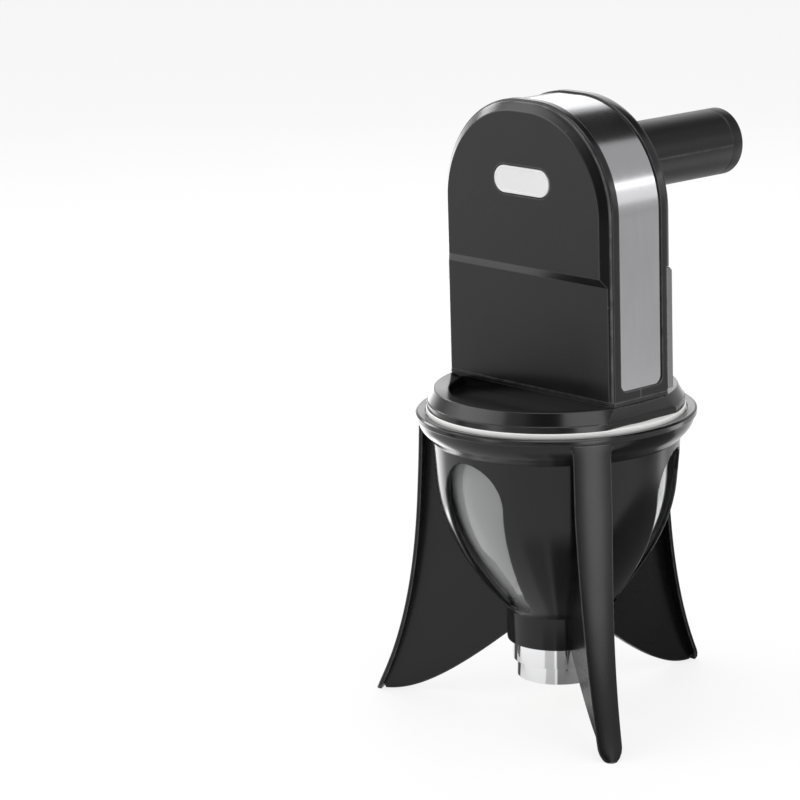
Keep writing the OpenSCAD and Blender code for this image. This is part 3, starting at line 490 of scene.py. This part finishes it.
def addWorld(s):
    world = bpy.data.worlds.new("studio")
    bpy.context.scene.world = world
    world.use_nodes = True
    nodes, links = world.node_tree.nodes, world.node_tree.links
    background = nodes["Background"]
    coords = nodes.new("ShaderNodeTexCoord")
    # the world seen in gloss carries the same painted reflections, darker and brighter patches
    gloss = addPaintedReflections(nodes, links, coords.outputs["Generated"], s["mirrored"])
    rays = nodes.new("ShaderNodeLightPath")
    tone = nodes.new("ShaderNodeMix")
    links.new(rays.outputs["Is Glossy Ray"], tone.inputs["Factor"])
    tone.inputs["A"].default_value = s["strength"]
    links.new(gloss, tone.inputs["B"])
    straight = addMath(nodes, links, "MAXIMUM",
                       rays.outputs["Is Camera Ray"], rays.outputs["Is Transmission Ray"])
    final = nodes.new("ShaderNodeMix")
    links.new(straight, final.inputs["Factor"])
    links.new(tone.outputs["Result"], final.inputs["A"])
    final.inputs["B"].default_value = 1
    links.new(final.outputs["Result"], background.inputs["Strength"])
    background.inputs["Color"].default_value = (1, 1, 1, 1)


def edgeMask(nodes, links, reach):
    # 0 on flat stretches and in hollows, rising to 1 on outer corners, which are painted lighter as
    # wear and as a painted highlight line
    near = nodes.new("ShaderNodeAmbientOcclusion")
    near.inside = True
    near.only_local = True
    near.samples = 6
    near.inputs["Distance"].default_value = reach * mm
    return addRange(nodes, links, near.outputs["AO"], 1, 0, 0.6, 0.93)


def mouldedPlastic(name, s):
    finish, nodes, links, shader = startFinish(name)
    coords = nodes.new("ShaderNodeTexCoord")
    cloud = addNoise(nodes, links, coords, s.get("cloudScale", 35), 4)
    colour = s["colour"]
    shaded = [c * s.get("shade", 1.25) for c in colour]
    base = addTint(nodes, links, addRange(nodes, links, cloud, 0, 1), colour, shaded)
    # the outer edges are lightened, partly as wear and partly as a painted highlight along them
    if s.get("wearAndSheen"):
        patch = addNoise(nodes, links, coords, 160, 4)
        uneven = addRange(nodes, links, patch, 0.3 * s["wearAndSheen"], s["wearAndSheen"])
        wornAndSheen = addMath(nodes, links, "MULTIPLY", edgeMask(nodes, links, 0.9), uneven)
        base = addTint(nodes, links, wornAndSheen, base, [c + 0.22 for c in colour])
    links.new(base, shader.inputs["Base Color"])
    smudge = addNoise(nodes, links, coords, 22, 5)
    links.new(addRange(nodes, links, smudge, *s["roughness"]), shader.inputs["Roughness"])
    grain = addNoise(nodes, links, coords, s["grainScale"], 2)
    addBump(nodes, links, grain, shader, 0.25, s["grainDepth"])
    shader.inputs["IOR"].default_value = s.get("ior", 1.5)
    if s.get("soft"):
        shader.inputs["Subsurface Weight"].default_value = s["soft"]
        shader.inputs["Subsurface Radius"].default_value = (0.002, 0.002, 0.002)
        shader.inputs["Subsurface Scale"].default_value = 1
    return finish


def workedMetal(name, s):
    # stretch gives the lines left by brushing or turning, in features per metre each way
    finish, nodes, links, shader = startFinish(name)
    coords = nodes.new("ShaderNodeTexCoord")
    lines = addNoise(nodes, links, coords, 1, 3, s["stretch"])
    cloud = addNoise(nodes, links, coords, 30, 4)
    shaded = [c * s.get("shade", 0.88) for c in s["colour"]]
    tint = addTint(nodes, links, addRange(nodes, links, lines, 0, 1), shaded, s["colour"])
    links.new(tint, shader.inputs["Base Color"])
    smudge = s.get("smudge", 0.04)
    rough = addMath(nodes, links, "ADD", addRange(nodes, links, lines, *s["roughness"]),
                    addRange(nodes, links, cloud, -smudge, smudge))
    links.new(rough, shader.inputs["Roughness"])
    addBump(nodes, links, lines, shader, 0.2, s["lineDepth"])
    shader.inputs["Metallic"].default_value = 1
    return finish


def clearMoulding(name, s):
    finish, nodes, links, shader = startFinish(name)
    coords = nodes.new("ShaderNodeTexCoord")
    flow = addNoise(nodes, links, coords, 18, 3, (1, 1, 0.35))
    shaded = [c * 0.96 for c in s["colour"]]
    tint = addTint(nodes, links, addRange(nodes, links, flow, 0, 1), s["colour"], shaded)
    links.new(tint, shader.inputs["Base Color"])
    smudge = addNoise(nodes, links, coords, 40, 5)
    links.new(addRange(nodes, links, smudge, *s["roughness"]), shader.inputs["Roughness"])
    wave = addNoise(nodes, links, coords, 60, 2)
    addBump(nodes, links, wave, shader, 0.15, 0.05)
    shader.inputs["IOR"].default_value = 1.46
    shader.inputs["Transmission Weight"].default_value = s["clear"]
    return finish


def bandedSleeve(name, s):
    # a plain battery sleeve: dark lower part, pale upper band, bare metal at both ends
    finish, nodes, links, shader = startFinish(name)
    coords = nodes.new("ShaderNodeTexCoord")
    split = nodes.new("ShaderNodeSeparateXYZ")
    links.new(coords.outputs["Object"], split.inputs["Vector"])
    along = addRange(nodes, links, split.outputs["Z"], 0, 1, s["low"] * mm, s["high"] * mm)
    ramp = addRamp(nodes, links, along, s["bands"])
    ramp.color_ramp.interpolation = "CONSTANT"
    links.new(ramp.outputs["Color"], shader.inputs["Base Color"])
    smudge = addNoise(nodes, links, coords, 90, 4)
    links.new(addRange(nodes, links, smudge, *s["roughness"]), shader.inputs["Roughness"])
    grain = addNoise(nodes, links, coords, 1500, 2)
    addBump(nodes, links, grain, shader, 0.2, 0.01)
    return finish


# colours are linear, scales are in features per metre, and depths in millimetres
glossBlack = mouldedPlastic("glossBlack", dict(
    colour=(0.0045, 0.0045, 0.005), roughness=(0.14, 0.2), ior=1.4, wearAndSheen=0.22,
    grainScale=1800, grainDepth=0.006))
legBlack = mouldedPlastic("legBlack", dict(
    colour=(0.0045, 0.0045, 0.005), roughness=(0.22, 0.3), ior=1.4, wearAndSheen=0.4,
    grainScale=2000, grainDepth=0.01))
panelBlack = mouldedPlastic("panelBlack", dict(
    colour=(0.0045, 0.0045, 0.005), roughness=(0.2, 0.28), ior=1.4, wearAndSheen=0.45,
    grainScale=2400, grainDepth=0.01))
gripBlack = mouldedPlastic("gripBlack", dict(
    colour=(0.005, 0.005, 0.0055), roughness=(0.36, 0.46), ior=1.3, wearAndSheen=0.4,
    grainScale=2600, grainDepth=0.014))
capBlack = mouldedPlastic("capBlack", dict(
    colour=(0.0055, 0.0055, 0.006), roughness=(0.38, 0.48), ior=1.3, wearAndSheen=0.4,
    grainScale=2800, grainDepth=0.016))
buttonGrey = mouldedPlastic("buttonGrey", dict(
    colour=(0.05, 0.05, 0.053), roughness=(0.36, 0.5), wearAndSheen=0.6,
    grainScale=2600, grainDepth=0.02))
innerBlack = mouldedPlastic("innerBlack", dict(
    colour=(0.02, 0.02, 0.022), roughness=(0.4, 0.55), grainScale=1600, grainDepth=0.03))
sealWhite = mouldedPlastic("sealWhite", dict(
    colour=(0.9, 0.9, 0.89), shade=0.97, roughness=(0.38, 0.5), ior=1.41, soft=0.2,
    grainScale=900, grainDepth=0.02))
badgePale = mouldedPlastic("badgePale", dict(
    colour=(0.72, 0.72, 0.72), shade=0.96, roughness=(0.3, 0.42), wearAndSheen=0.2,
    grainScale=2000, grainDepth=0.01))
bushWhite = mouldedPlastic("bushWhite", dict(
    colour=(0.78, 0.78, 0.75), shade=0.94, roughness=(0.3, 0.42), soft=0.1,
    grainScale=1500, grainDepth=0.012))
nylonCream = mouldedPlastic("nylonCream", dict(
    colour=(0.76, 0.75, 0.69), shade=0.94, roughness=(0.34, 0.48), soft=0.1,
    grainScale=1400, grainDepth=0.02))
ringRed = mouldedPlastic("ringRed", dict(
    colour=(0.42, 0.07, 0.04), shade=0.9, roughness=(0.4, 0.55), ior=1.41,
    grainScale=900, grainDepth=0.02))
boardGreen = mouldedPlastic("boardGreen", dict(
    colour=(0.02, 0.12, 0.06), shade=1.2, roughness=(0.26, 0.4), cloudScale=240,
    grainScale=1100, grainDepth=0.03))
bandSteel = workedMetal("bandSteel", dict(
    colour=(0.44, 0.44, 0.45), shade=0.94, roughness=(0.15, 0.2), smudge=0.02,
    stretch=(40, 5200, 40), lineDepth=0.0015))
nozzleSteel = workedMetal("nozzleSteel", dict(
    colour=(0.86, 0.86, 0.87), shade=0.97, roughness=(0.04, 0.07), smudge=0.015,
    stretch=(60, 60, 4200), lineDepth=0.001))
partSteel = workedMetal("partSteel", dict(
    colour=(0.55, 0.55, 0.56), roughness=(0.22, 0.34), stretch=(900, 900, 900), lineDepth=0.003))
motorCan = workedMetal("motorCan", dict(
    colour=(0.5, 0.5, 0.52), roughness=(0.3, 0.42), stretch=(300, 900, 300), lineDepth=0.004))
contactNickel = workedMetal("contactNickel", dict(
    colour=(0.68, 0.67, 0.62), roughness=(0.2, 0.3), stretch=(200, 200, 1600), lineDepth=0.003))
clearPlastic = clearMoulding("clearPlastic", dict(
    colour=(0.86, 0.87, 0.87), roughness=(0.05, 0.12), clear=0.8))
batterySleeve = bandedSleeve("batterySleeve", dict(
    low=184, high=235.2, roughness=(0.24, 0.4),
    bands=[(0, (0.6, 0.6, 0.58)), (0.02, (0.03, 0.1, 0.075)),
           (0.66, (0.62, 0.6, 0.5)), (0.955, (0.6, 0.6, 0.58))]))
print("finishes made")

bpy.context.scene.view_settings.view_transform = "Standard"
addCamera(cameraSettings)
addFloor(floorSettings)
addLamps(lampSettings)
addWorld(worldSettings)
print("camera, floor and light placed")


# the bowl's wall follows one curve, given as (radius, height) in millimetres
bowlSettings = dict(
    curve=[(64.4, 145), (61.8, 116.8), (67.3, 98.3), (27.8, 53.3)],
    collar=[(64.4, 145), (64.9, 145.5), (66.6, 147.4), (69.4, 150.5), (71.1, 153.6), (72, 157)],
    flange=[(73, 157.1, 0.5), (73, 159.7, 0.5), (71.8, 160.6, 0.9), (67.9, 160.1, 0.3),
            (67.9, 158.8), (62, 158.8, 0.4), (62, 147)],
    radius=64.4,
    rimHeight=158.8,
    wall=2.4,
    neckRadius=27.8,
    neckLow=36.1,
    neckTop=53.3,
    boreRadius=25.1,
    segments=192,
    windowTurns=(0, 120, 240),
    windowHalfAngle=19.5,
    windowTop=141.6,
    windowFoot=56.6,
    windowDepth=(20, 80),
    topTrim=0.8,
    sideTrim=0.6,
    footBends=[(1.4, 2.4), (4.5, 0.5)],
    footHalf=2,
    edgeRadius=0.45,
)


def windowOutline(s):
    # half of the outline, from the top of the arc down to the foot, and then its mirror image
    spread = math.sin(math.radians(s["windowHalfAngle"]))
    top = s["radius"] * spread - s["topTrim"]
    waist = s["windowTop"] - top
    arc = [(top * math.cos(a), waist + top * math.sin(a))
           for a in [math.radians(90 - 90 * k / 16) for k in range(17)]]
    side = [bezierPoint(s["curve"], (i + 0.45) / 28) for i in range(6, 28)]
    side = [(p.x * spread - s["sideTrim"], p.y) for p in side
            if s["windowFoot"] + 5 < p.y < waist - 6]
    last = side[-1]
    bends = [(last[0] - inward, s["windowFoot"] + up) for inward, up in s["footBends"]]
    foot = smoothPath([last] + bends + [(s["footHalf"], s["windowFoot"])], 4)
    half = arc + side + [tuple(p) for p in foot[1:]]
    return half + [(-x, z) for x, z in reversed(half[1:])]


def onWindow(s, m):
    # the rim of a window on the bowl's outer face
    if not s["windowFoot"] - 0.5 < m.z < s["windowTop"] + 0.5:
        return False
    stations = [bezierPoint(s["curve"], k / 200) for k in range(201)]
    surface = min(stations, key=lambda p: abs(p.y - m.z))
    return abs(math.hypot(m.x, m.y) - surface.x) < 0.5


def buildBowl(s):
    outer = [insidePoint(s["curve"], t / 40, 0) for t in range(40, 0, -1)]
    inner = [insidePoint(s["curve"], t / 40, s["wall"]) for t in range(0, 39)]
    profile = [(s["boreRadius"], s["neckLow"], 0.3), (s["neckRadius"], s["neckLow"], 0.8),
               (s["neckRadius"], s["neckTop"] - 1.0)]
    profile += [tuple(p) for p in outer] + [tuple(p) for p in smoothPath(s["collar"], 5)]
    profile += s["flange"]
    profile += [tuple(p) for p in inner] + [(s["boreRadius"], s["neckTop"])]
    bowl = turnProfile("bowlShell", profile, s["segments"])
    near, far = s["windowDepth"]
    outline = [(x * mm, -near * mm, z * mm) for x, z in windowOutline(s)]
    for turn in s["windowTurns"]:
        cutter = pushOut("windowCutter", outline, (0, (near - far) * mm, 0))
        cutter.rotation_euler.z = math.radians(turn)
        settle(cutter)
        combine(bowl, cutter, "DIFFERENCE")
    tidyMesh(bowl)
    bevelWhere(bowl, lambda m, e: onWindow(s, m), s["edgeRadius"], 2, 40)
    finishPiece(bowl, "stand", ["bowl_shell"], glossBlack)


buildBowl(bowlSettings)
print("bowl turned and its windows cut")

legSettings = dict(
    curve=[(72.7, 155.2), (74.7, 101.7), (77.7, 47.3), (102.7, 0)],
    fin=[(27.8, 36.7), (65.7, 6.5), (82.7, 0.4), (97.2, 0.4)],
    crown=1.0,
    edge=2.0,
    cornerRadius=0.6,
    backInset=0.3,
    topHalf=9.8,
    footHalf=6.2,
    footRound=8,
    taperHeight=118,
    taperPower=1.15,
    stations=64,
    rise=1.8,
    flare=2.4,
    flareHeight=150,
    flareReach=7,
    overrun=5,
    webThickness=3,
    webSink=1.2,
    webTop=(62.5, 152),
    webNeck=(36.4, 52),
    legs=[("legLeft", "leg_left", -150), ("legRight", "leg_right", -30), ("legRear", "leg_rear", 90)],
)


def legHalfWidth(s, height):
    # it narrows towards the foot, flares into the collar and is rounded off at the floor
    if height > s["taperHeight"]:
        flared = max(0, (height - s["flareHeight"]) / s["flareReach"])
        half = s["topHalf"] + s["flare"] * flared ** 2
    else:
        share = max(height, 0) / s["taperHeight"]
        half = s["footHalf"] + (s["topHalf"] - s["footHalf"]) * share ** s["taperPower"]
    foot = min(1, max(0, 1 - height / s["footRound"]))
    return half * math.sqrt(max(0.1, 1 - foot * foot))


def buildRib(s):
    # a crowned front, rounded edges and a flat back, drawn once and led down the curve
    half, corner = s["topHalf"], s["cornerRadius"]
    crown = [(a, s["crown"] * (a / half) ** 2) for a in [half * (k / 8) for k in range(-8, 9)]]
    back, inset = s["crown"] + s["edge"], s["backInset"]
    section = [(-half, s["crown"], corner)] + crown[1:-1] + [(half, s["crown"], corner)]
    section = softCorners(section + [(half - inset, back), (inset - half, back)], 3)
    slope = bezierSlope(s["curve"], 0).normalized()
    start = bezierPoint(s["curve"], 0) - slope * s["rise"]
    outward = Vector((-slope.y, slope.x))
    points = [((start.x - outward.x * d) * mm, a * mm, (start.y - outward.y * d) * mm)
              for a, d in section]
    rib = drawOutline("legRib", points, True, True)
    openMesh(rib)
    centre, angle, width = start, math.atan2(slope.y, slope.x), half
    steps = [k / s["stations"] for k in range(s["stations"] + 1)]
    stations = [bezierPoint(s["curve"], t) for t in steps]
    slopes = [bezierSlope(s["curve"], t) for t in steps]
    stations.append(stations[-1] + slopes[-1].normalized() * s["overrun"])
    slopes.append(slopes[-1])
    for place, direction in zip(stations, slopes):
        step = (place - centre) * mm
        bpy.ops.mesh.extrude_region_move(TRANSFORM_OT_translate={"value": (step.x, 0, step.y)})
        newAngle = math.atan2(direction.y, direction.x)
        newWidth = legHalfWidth(s, place.y)
        pivot = (place.x * mm, 0, place.y * mm)
        turn = newAngle - angle
        bpy.ops.transform.rotate(value=turn, orient_axis="Y", center_override=pivot)
        bpy.ops.transform.resize(value=(1, newWidth / width, 1), center_override=pivot)
        centre, angle, width = place, newAngle, newWidth
    bpy.ops.mesh.select_all(action="SELECT")
    bpy.ops.mesh.bisect(plane_co=(0, 0, 0), plane_no=(0, 0, -1), use_fill=True,
                        clear_outer=True, threshold=0.001 * mm)
    closeMesh()
    tidyMesh(rib)
    return rib


def buildLegs(s, bowl):
    rib = buildRib(s)
    depth, sink = s["crown"] + s["edge"] / 2, s["webSink"]
    outer = [insidePoint(s["curve"], k / 32, depth) for k in range(33)]
    fin = [bezierPoint(s["fin"], k / 24) for k in range(24, -1, -1)]
    wall = [insidePoint(bowl["curve"], k / 24, sink) for k in range(24, -1, -1)]
    points = [s["webTop"]] + [tuple(p) for p in outer if p.y > 1.2] + [tuple(p) for p in fin]
    points += [(bowl["neckRadius"] - sink, height) for height in s["webNeck"]]
    points += [tuple(p) for p in wall]
    outline = [(x * mm, -s["webThickness"] / 2 * mm, z * mm) for x, z in points]
    web = pushOut("legWeb", outline, (0, s["webThickness"] * mm, 0))
    combine(rib, web, "UNION")
    tidyMesh(rib)
    for name, node, turn in s["legs"]:
        pickOnly(rib)
        bpy.ops.object.duplicate()
        leg = bpy.context.object
        leg.name = name
        leg.data.name = name
        leg.rotation_euler.z = math.radians(turn)
        finishPiece(leg, "stand", [node], legBlack)
    bpy.data.objects.remove(rib)


buildLegs(legSettings, bowlSettings)
print("legs led down their curve")

hopperSettings = dict(
    wall=1.8,
    gap=3.2,
    rimRadius=65,
    rimWall=1.6,
    spoutRadius=24.7,
    boreRadius=21.5,
    spoutLow=50,
)


def buildHopper(s, bowl):
    # it follows the bowl's curve, a gap inside the bowl's wall
    outside = bowl["wall"] + s["gap"]
    inside = outside + s["wall"]
    rim, top = bowl["rimHeight"], bowl["rimHeight"] + s["rimWall"]
    profile = [(s["spoutRadius"], s["spoutLow"]), (s["spoutRadius"], bowl["neckTop"] - 0.4)]
    profile += [tuple(insidePoint(bowl["curve"], t / 36, outside)) for t in range(35, -1, -1)]
    profile += [(bowl["radius"] - outside, rim, 0.3), (s["rimRadius"], rim),
                (s["rimRadius"], top, 0.3), (bowl["radius"] - inside, top, 0.5),
                (bowl["radius"] - inside, 147)]
    profile += [tuple(insidePoint(bowl["curve"], t / 36, inside)) for t in range(0, 35)]
    profile += [(s["boreRadius"], bowl["neckTop"] - 1), (s["boreRadius"], s["spoutLow"])]
    hopper = turnProfile("clearHopper", profile, 160)
    finishPiece(hopper, "stand", ["clear_hopper"], clearPlastic)


buildHopper(hopperSettings, bowlSettings)

# rings and tubes on the stand: corners as (radius, height, rounding)
sealSettings = dict(segments=192, smooth=50, profile=[
    (65.1, 158.8), (67.2, 158.8, 0.3), (67.5, 160.6, 2.5), (67.3, 162.4, 0.5),
    (62, 162.4, 0.4), (62, 160.4), (65.1, 160.4)])
sleeveSettings = dict(segments=160, smooth=32, profile=[
    (22.6, 25.3), (24.9, 25.3, 0.5), (24.9, 50), (22.6, 50)])
tubeSettings = dict(segments=160, smooth=32, profile=[
    (21.5, 16.2, 0.3), (22.9, 16.2, 0.5), (22.9, 25.3), (22.6, 25.3), (22.6, 50), (21.5, 50)])

for name, node, slot, finish, ring in [
        ("sealRing", "seal_ring", "white_seal", sealWhite, sealSettings),
        ("nozzleSleeve", "nozzle_sleeve", "nozzle_steel", nozzleSteel, sleeveSettings),
        ("nozzleTube", "nozzle_tube", "nozzle_steel", nozzleSteel, tubeSettings)]:
    piece = turnProfile(name, ring["profile"], ring["segments"])
    finishPiece(piece, "stand", [node], finish, ring["smooth"])
print("hopper, seal and nozzle turned")

lidSettings = dict(
    profile=[(8, 166.5), (54.6, 166.5, 0.9), (55, 171.2, 0.5), (55.6, 171.5, 0.3), (63.0, 172.4, 0.7),
             (66.3, 165.9, 0.5), (66.9, 165.6, 0.5), (66.9, 162.4, 0.2), (59.3, 162.4),
             (59.3, 154.4, 0.5), (57.3, 154.4, 0.5), (57.3, 164), (8, 164)],
    segments=192,
    flatBottom=(61.8, 165.9),
    flatTop=(60.3, 172.4),
    flatEdge=0.35,
    plate=[(58.1, -19.35), (59.9, -17.75), (60.65, -17.5), (60.65, 20.45)],
    plateEdge=0.3,
    plateLow=172.5,
    plateTop=174.46,
    neck=(59.4, 18, 19.6),
    neckCorner=1.5,
    neckLow=165.5,
    neckTop=173.96,
    neckWall=2.5,
    hollowCorner=1,
    hollowHeight=12,
    boreRadius=8,
    boreMiddle=165,
)


def blockOutline(halfWidth, front, back, corner, height):
    corners = [(-halfWidth, -front, corner), (halfWidth, -front, corner),
               (halfWidth, back, corner), (-halfWidth, back, corner)]
    return [(p.x * mm, p.y * mm, height * mm) for p in softCorners(corners, 4)]


def buildLid(s):
    lid = turnProfile("lidShell", s["profile"], s["segments"])
    (lowX, lowZ), (highX, highZ) = s["flatBottom"], s["flatTop"]
    tilt = Vector((highZ - lowZ, 0, lowX - highX)).normalized()
    openMesh(lid)
    for side in (-1, 1):
        for direction in (Vector((1, 0, 0)), tilt):
            bpy.ops.mesh.select_all(action="SELECT")
            bpy.ops.mesh.bisect(plane_co=(side * lowX * mm, 0, lowZ * mm),
                                plane_no=(side * direction.x, 0, direction.z),
                                use_fill=True, clear_outer=True)
    closeMesh()
    tidyMesh(lid)
    bevelWhere(lid, lambda m, e: 60.2 < abs(m.x) < 62.2 and m.z > 162.6 and abs(m.y) > 1,
               s["flatEdge"], 2, 12)
    # the plinth is a plate on a hollow neck
    outline = s["plate"] + [(-x, y) for x, y in reversed(s["plate"])]
    plate = pushOut("plinthPlate", [(x * mm, y * mm, s["plateLow"] * mm) for x, y in outline],
                    (0, 0, (s["plateTop"] - s["plateLow"]) * mm))
    bevelWhere(plate, lambda m, e: m.z < s["plateLow"] + 0.1, s["plateEdge"], 2)
    halfWidth, front, back = s["neck"]
    low, wall = s["neckLow"], s["neckWall"]
    plinth = pushOut("plinth", blockOutline(halfWidth, front, back, s["neckCorner"], low),
                     (0, 0, (s["neckTop"] - low) * mm))
    combine(plinth, plate, "UNION")
    inside = blockOutline(halfWidth - wall, front - wall, back - wall, s["hollowCorner"], low + 1)
    hollow = pushOut("plinthHollow", inside, (0, 0, s["hollowHeight"] * mm))
    combine(plinth, hollow, "DIFFERENCE")
    combine(lid, plinth, "UNION")
    clearSelection()
    bpy.ops.mesh.primitive_cylinder_add(vertices=64, radius=s["boreRadius"] * mm, depth=20 * mm,
                                        location=(0, 0, s["boreMiddle"] * mm))
    combine(lid, bpy.context.object, "DIFFERENCE")
    tidyMesh(lid)
    finishPiece(lid, "head", ["lid"], glossBlack, 30, True)


buildLid(lidSettings)
print("lid turned, flattened at its sides and given its plinth")


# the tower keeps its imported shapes, and their outer edges are softened
towerSettings = dict(
    shoulderHeight=267.2,
    shoulderOffset=5.1,
    side=58.9,
    bandSide=59.6,
    foot=175,
    footEdge=180,
    grooveReach=0.3,
    gripHeight=283.7,
    gripSide=17.3,
    gripStart=23.3,
)

badgeSettings = dict(
    middle=(0.6, -22, 281.8),
    room=(21, 8.2),
    shrink=(0.985, 1, 0.96),
    rim=0.9,
    step=0.18,
    depth=0.14,
)


def reach(m, s):
    # distance from the tower's middle plane, led round the shoulders of the arch
    if m.z < s["shoulderHeight"]:
        return abs(m.x)
    across = max(abs(m.x) - s["shoulderOffset"], 0)
    return s["shoulderOffset"] + math.hypot(across, m.z - s["shoulderHeight"])


def onCasing(m, outside, groove, s=towerSettings):
    # the outer edges of one half of the casing: its face, the band's groove and its foot
    if reach(m, s) < s["side"] or m.z < s["foot"]:
        return False
    return outside or abs(m.y - groove) < s["grooveReach"] or m.z < s["footEdge"]


def onGrip(m, s=towerSettings):
    return math.hypot(m.x, m.z - s["gripHeight"]) > s["gripSide"] and m.y > s["gripStart"]


def nearBadge(m, s=badgeSettings):
    (x, y, z), (wide, high) = s["middle"], s["room"]
    return abs(m.x - x) < wide and abs(m.z - z) < high


def shrinkBadge(piece, s):
    # a hair smaller, so that a fine dark line is left round it
    openMesh(piece)
    middle = [c * mm for c in s["middle"]]
    bpy.ops.transform.resize(value=s["shrink"], center_override=middle)
    closeMesh()


def sinkPanel(piece, s):
    # a fine raised rim is left round the badge's blank face
    openMesh(piece, "DESELECT")
    bpy.ops.mesh.select_mode(type="FACE")
    mesh = bmesh.from_edit_mesh(piece.data)
    for face in mesh.faces:
        face.select_set(face.normal.y < -0.99 and face.calc_area() > 50 * mm * mm)
    bmesh.update_edit_mesh(piece.data)
    bpy.ops.mesh.inset(thickness=s["rim"] * mm)
    bpy.ops.mesh.inset(thickness=s["step"] * mm, depth=-s["depth"] * mm)
    bpy.ops.mesh.select_mode(type="VERT")
    closeMesh()


towerPieces = [
    # name, node, body, slot, finish, width of the softened edges, which edges
    ("frontShell", "front_shell", "head", "black_housing", panelBlack, 0.3,
     lambda m, e: onCasing(m, m.y < -16.5, -12.9)),
    ("frontCover", "front_cover", "head", "black_housing", panelBlack, 0.4,
     lambda m, e: m.y < -18.8 and m.z > towerSettings["foot"] and not nearBadge(m)),
    ("badgePlate", "badge", "head", "badge_grey", badgePale, 0.3, lambda m, e: m.y < -22.3),
    ("steelBand", "steel_band", "head", "band_steel", bandSteel, 0.18,
     lambda m, e: reach(m, towerSettings) > towerSettings["bandSide"]),
    ("backShell", "back_shell", "head", "black_housing", panelBlack, 0.3,
     lambda m, e: onCasing(m, m.y > 20.2, 16.8)),
    ("batteryDoor", "battery_door", "door", "black_housing", panelBlack, 0.35,
     lambda m, e: m.y > 20.7),
    ("handleUpper", "handle_upper_shell", "head", "handle_black", gripBlack, 0.22,
     lambda m, e: onGrip(m)),
    ("handleLower", "handle_lower_shell", "head", "handle_black", gripBlack, 0.22,
     lambda m, e: onGrip(m)),
]

for name, node, body, slot, finish, width, test in towerPieces:
    piece = copyNode(node, name)
    if name == "badgePlate":
        shrinkBadge(piece, badgeSettings)
    bevelWhere(piece, test, width, 2)
    if name == "badgePlate":
        sinkPanel(piece, badgeSettings)
    finishPiece(piece, body, [node], finish, 30, True)
print("tower pieces softened")

# turned pieces on the grip's side, with corners as (radius, distance back, rounding)
capSettings = dict(height=283.7, segments=128, profile=[
    (0, 123.4), (13.6, 123.4, 0.5), (13.6, 109.4), (15.2, 109.4), (15.2, 117.4),
    (17.8, 117.4, 0.4), (17.8, 125.4, 1.8), (0, 125.4)])
buttonSettings = dict(height=308.55, segments=96, profile=[
    (0, 15.5), (2, 15.5), (2, 19.1), (7, 19.1), (7, 20.4), (6, 20.4), (6, 24.9, 0.9), (0, 25.3)])

for name, node, body, slot, finish, knob in [
        ("handleEndCap", "handle_end_cap", "head", "handle_cap", capBlack, capSettings),
        ("powerButton", "power_button", "button", "button_grey", buttonGrey, buttonSettings)]:
    piece = turnProfile(name, knob["profile"], knob["segments"], False, "Y", knob["height"])
    finishPiece(piece, body, [node], finish)
print("cap and button turned")

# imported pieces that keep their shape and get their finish
keptNodes = [
    ("rod_bush", bushWhite), ("battery_trays", innerBlack), ("batteries", batterySleeve),
    ("battery_contacts", contactNickel), ("gearmotor", motorCan), ("motor_pinion", partSteel),
    ("compound_gear", nylonCream), ("gear_axle", partSteel), ("rack_guide", bushWhite),
    ("plunger_rod", partSteel), ("piston", nylonCream), ("piston_ring", ringRed),
    ("control_board", boardGreen), ("housing_screws", partSteel), ("lid_screws", partSteel),
    ("handle_screws", partSteel),
]
for node, finish in keptNodes:
    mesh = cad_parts[node].data
    mesh.materials.clear()
    mesh.materials.append(finish)
print("inner pieces finished")
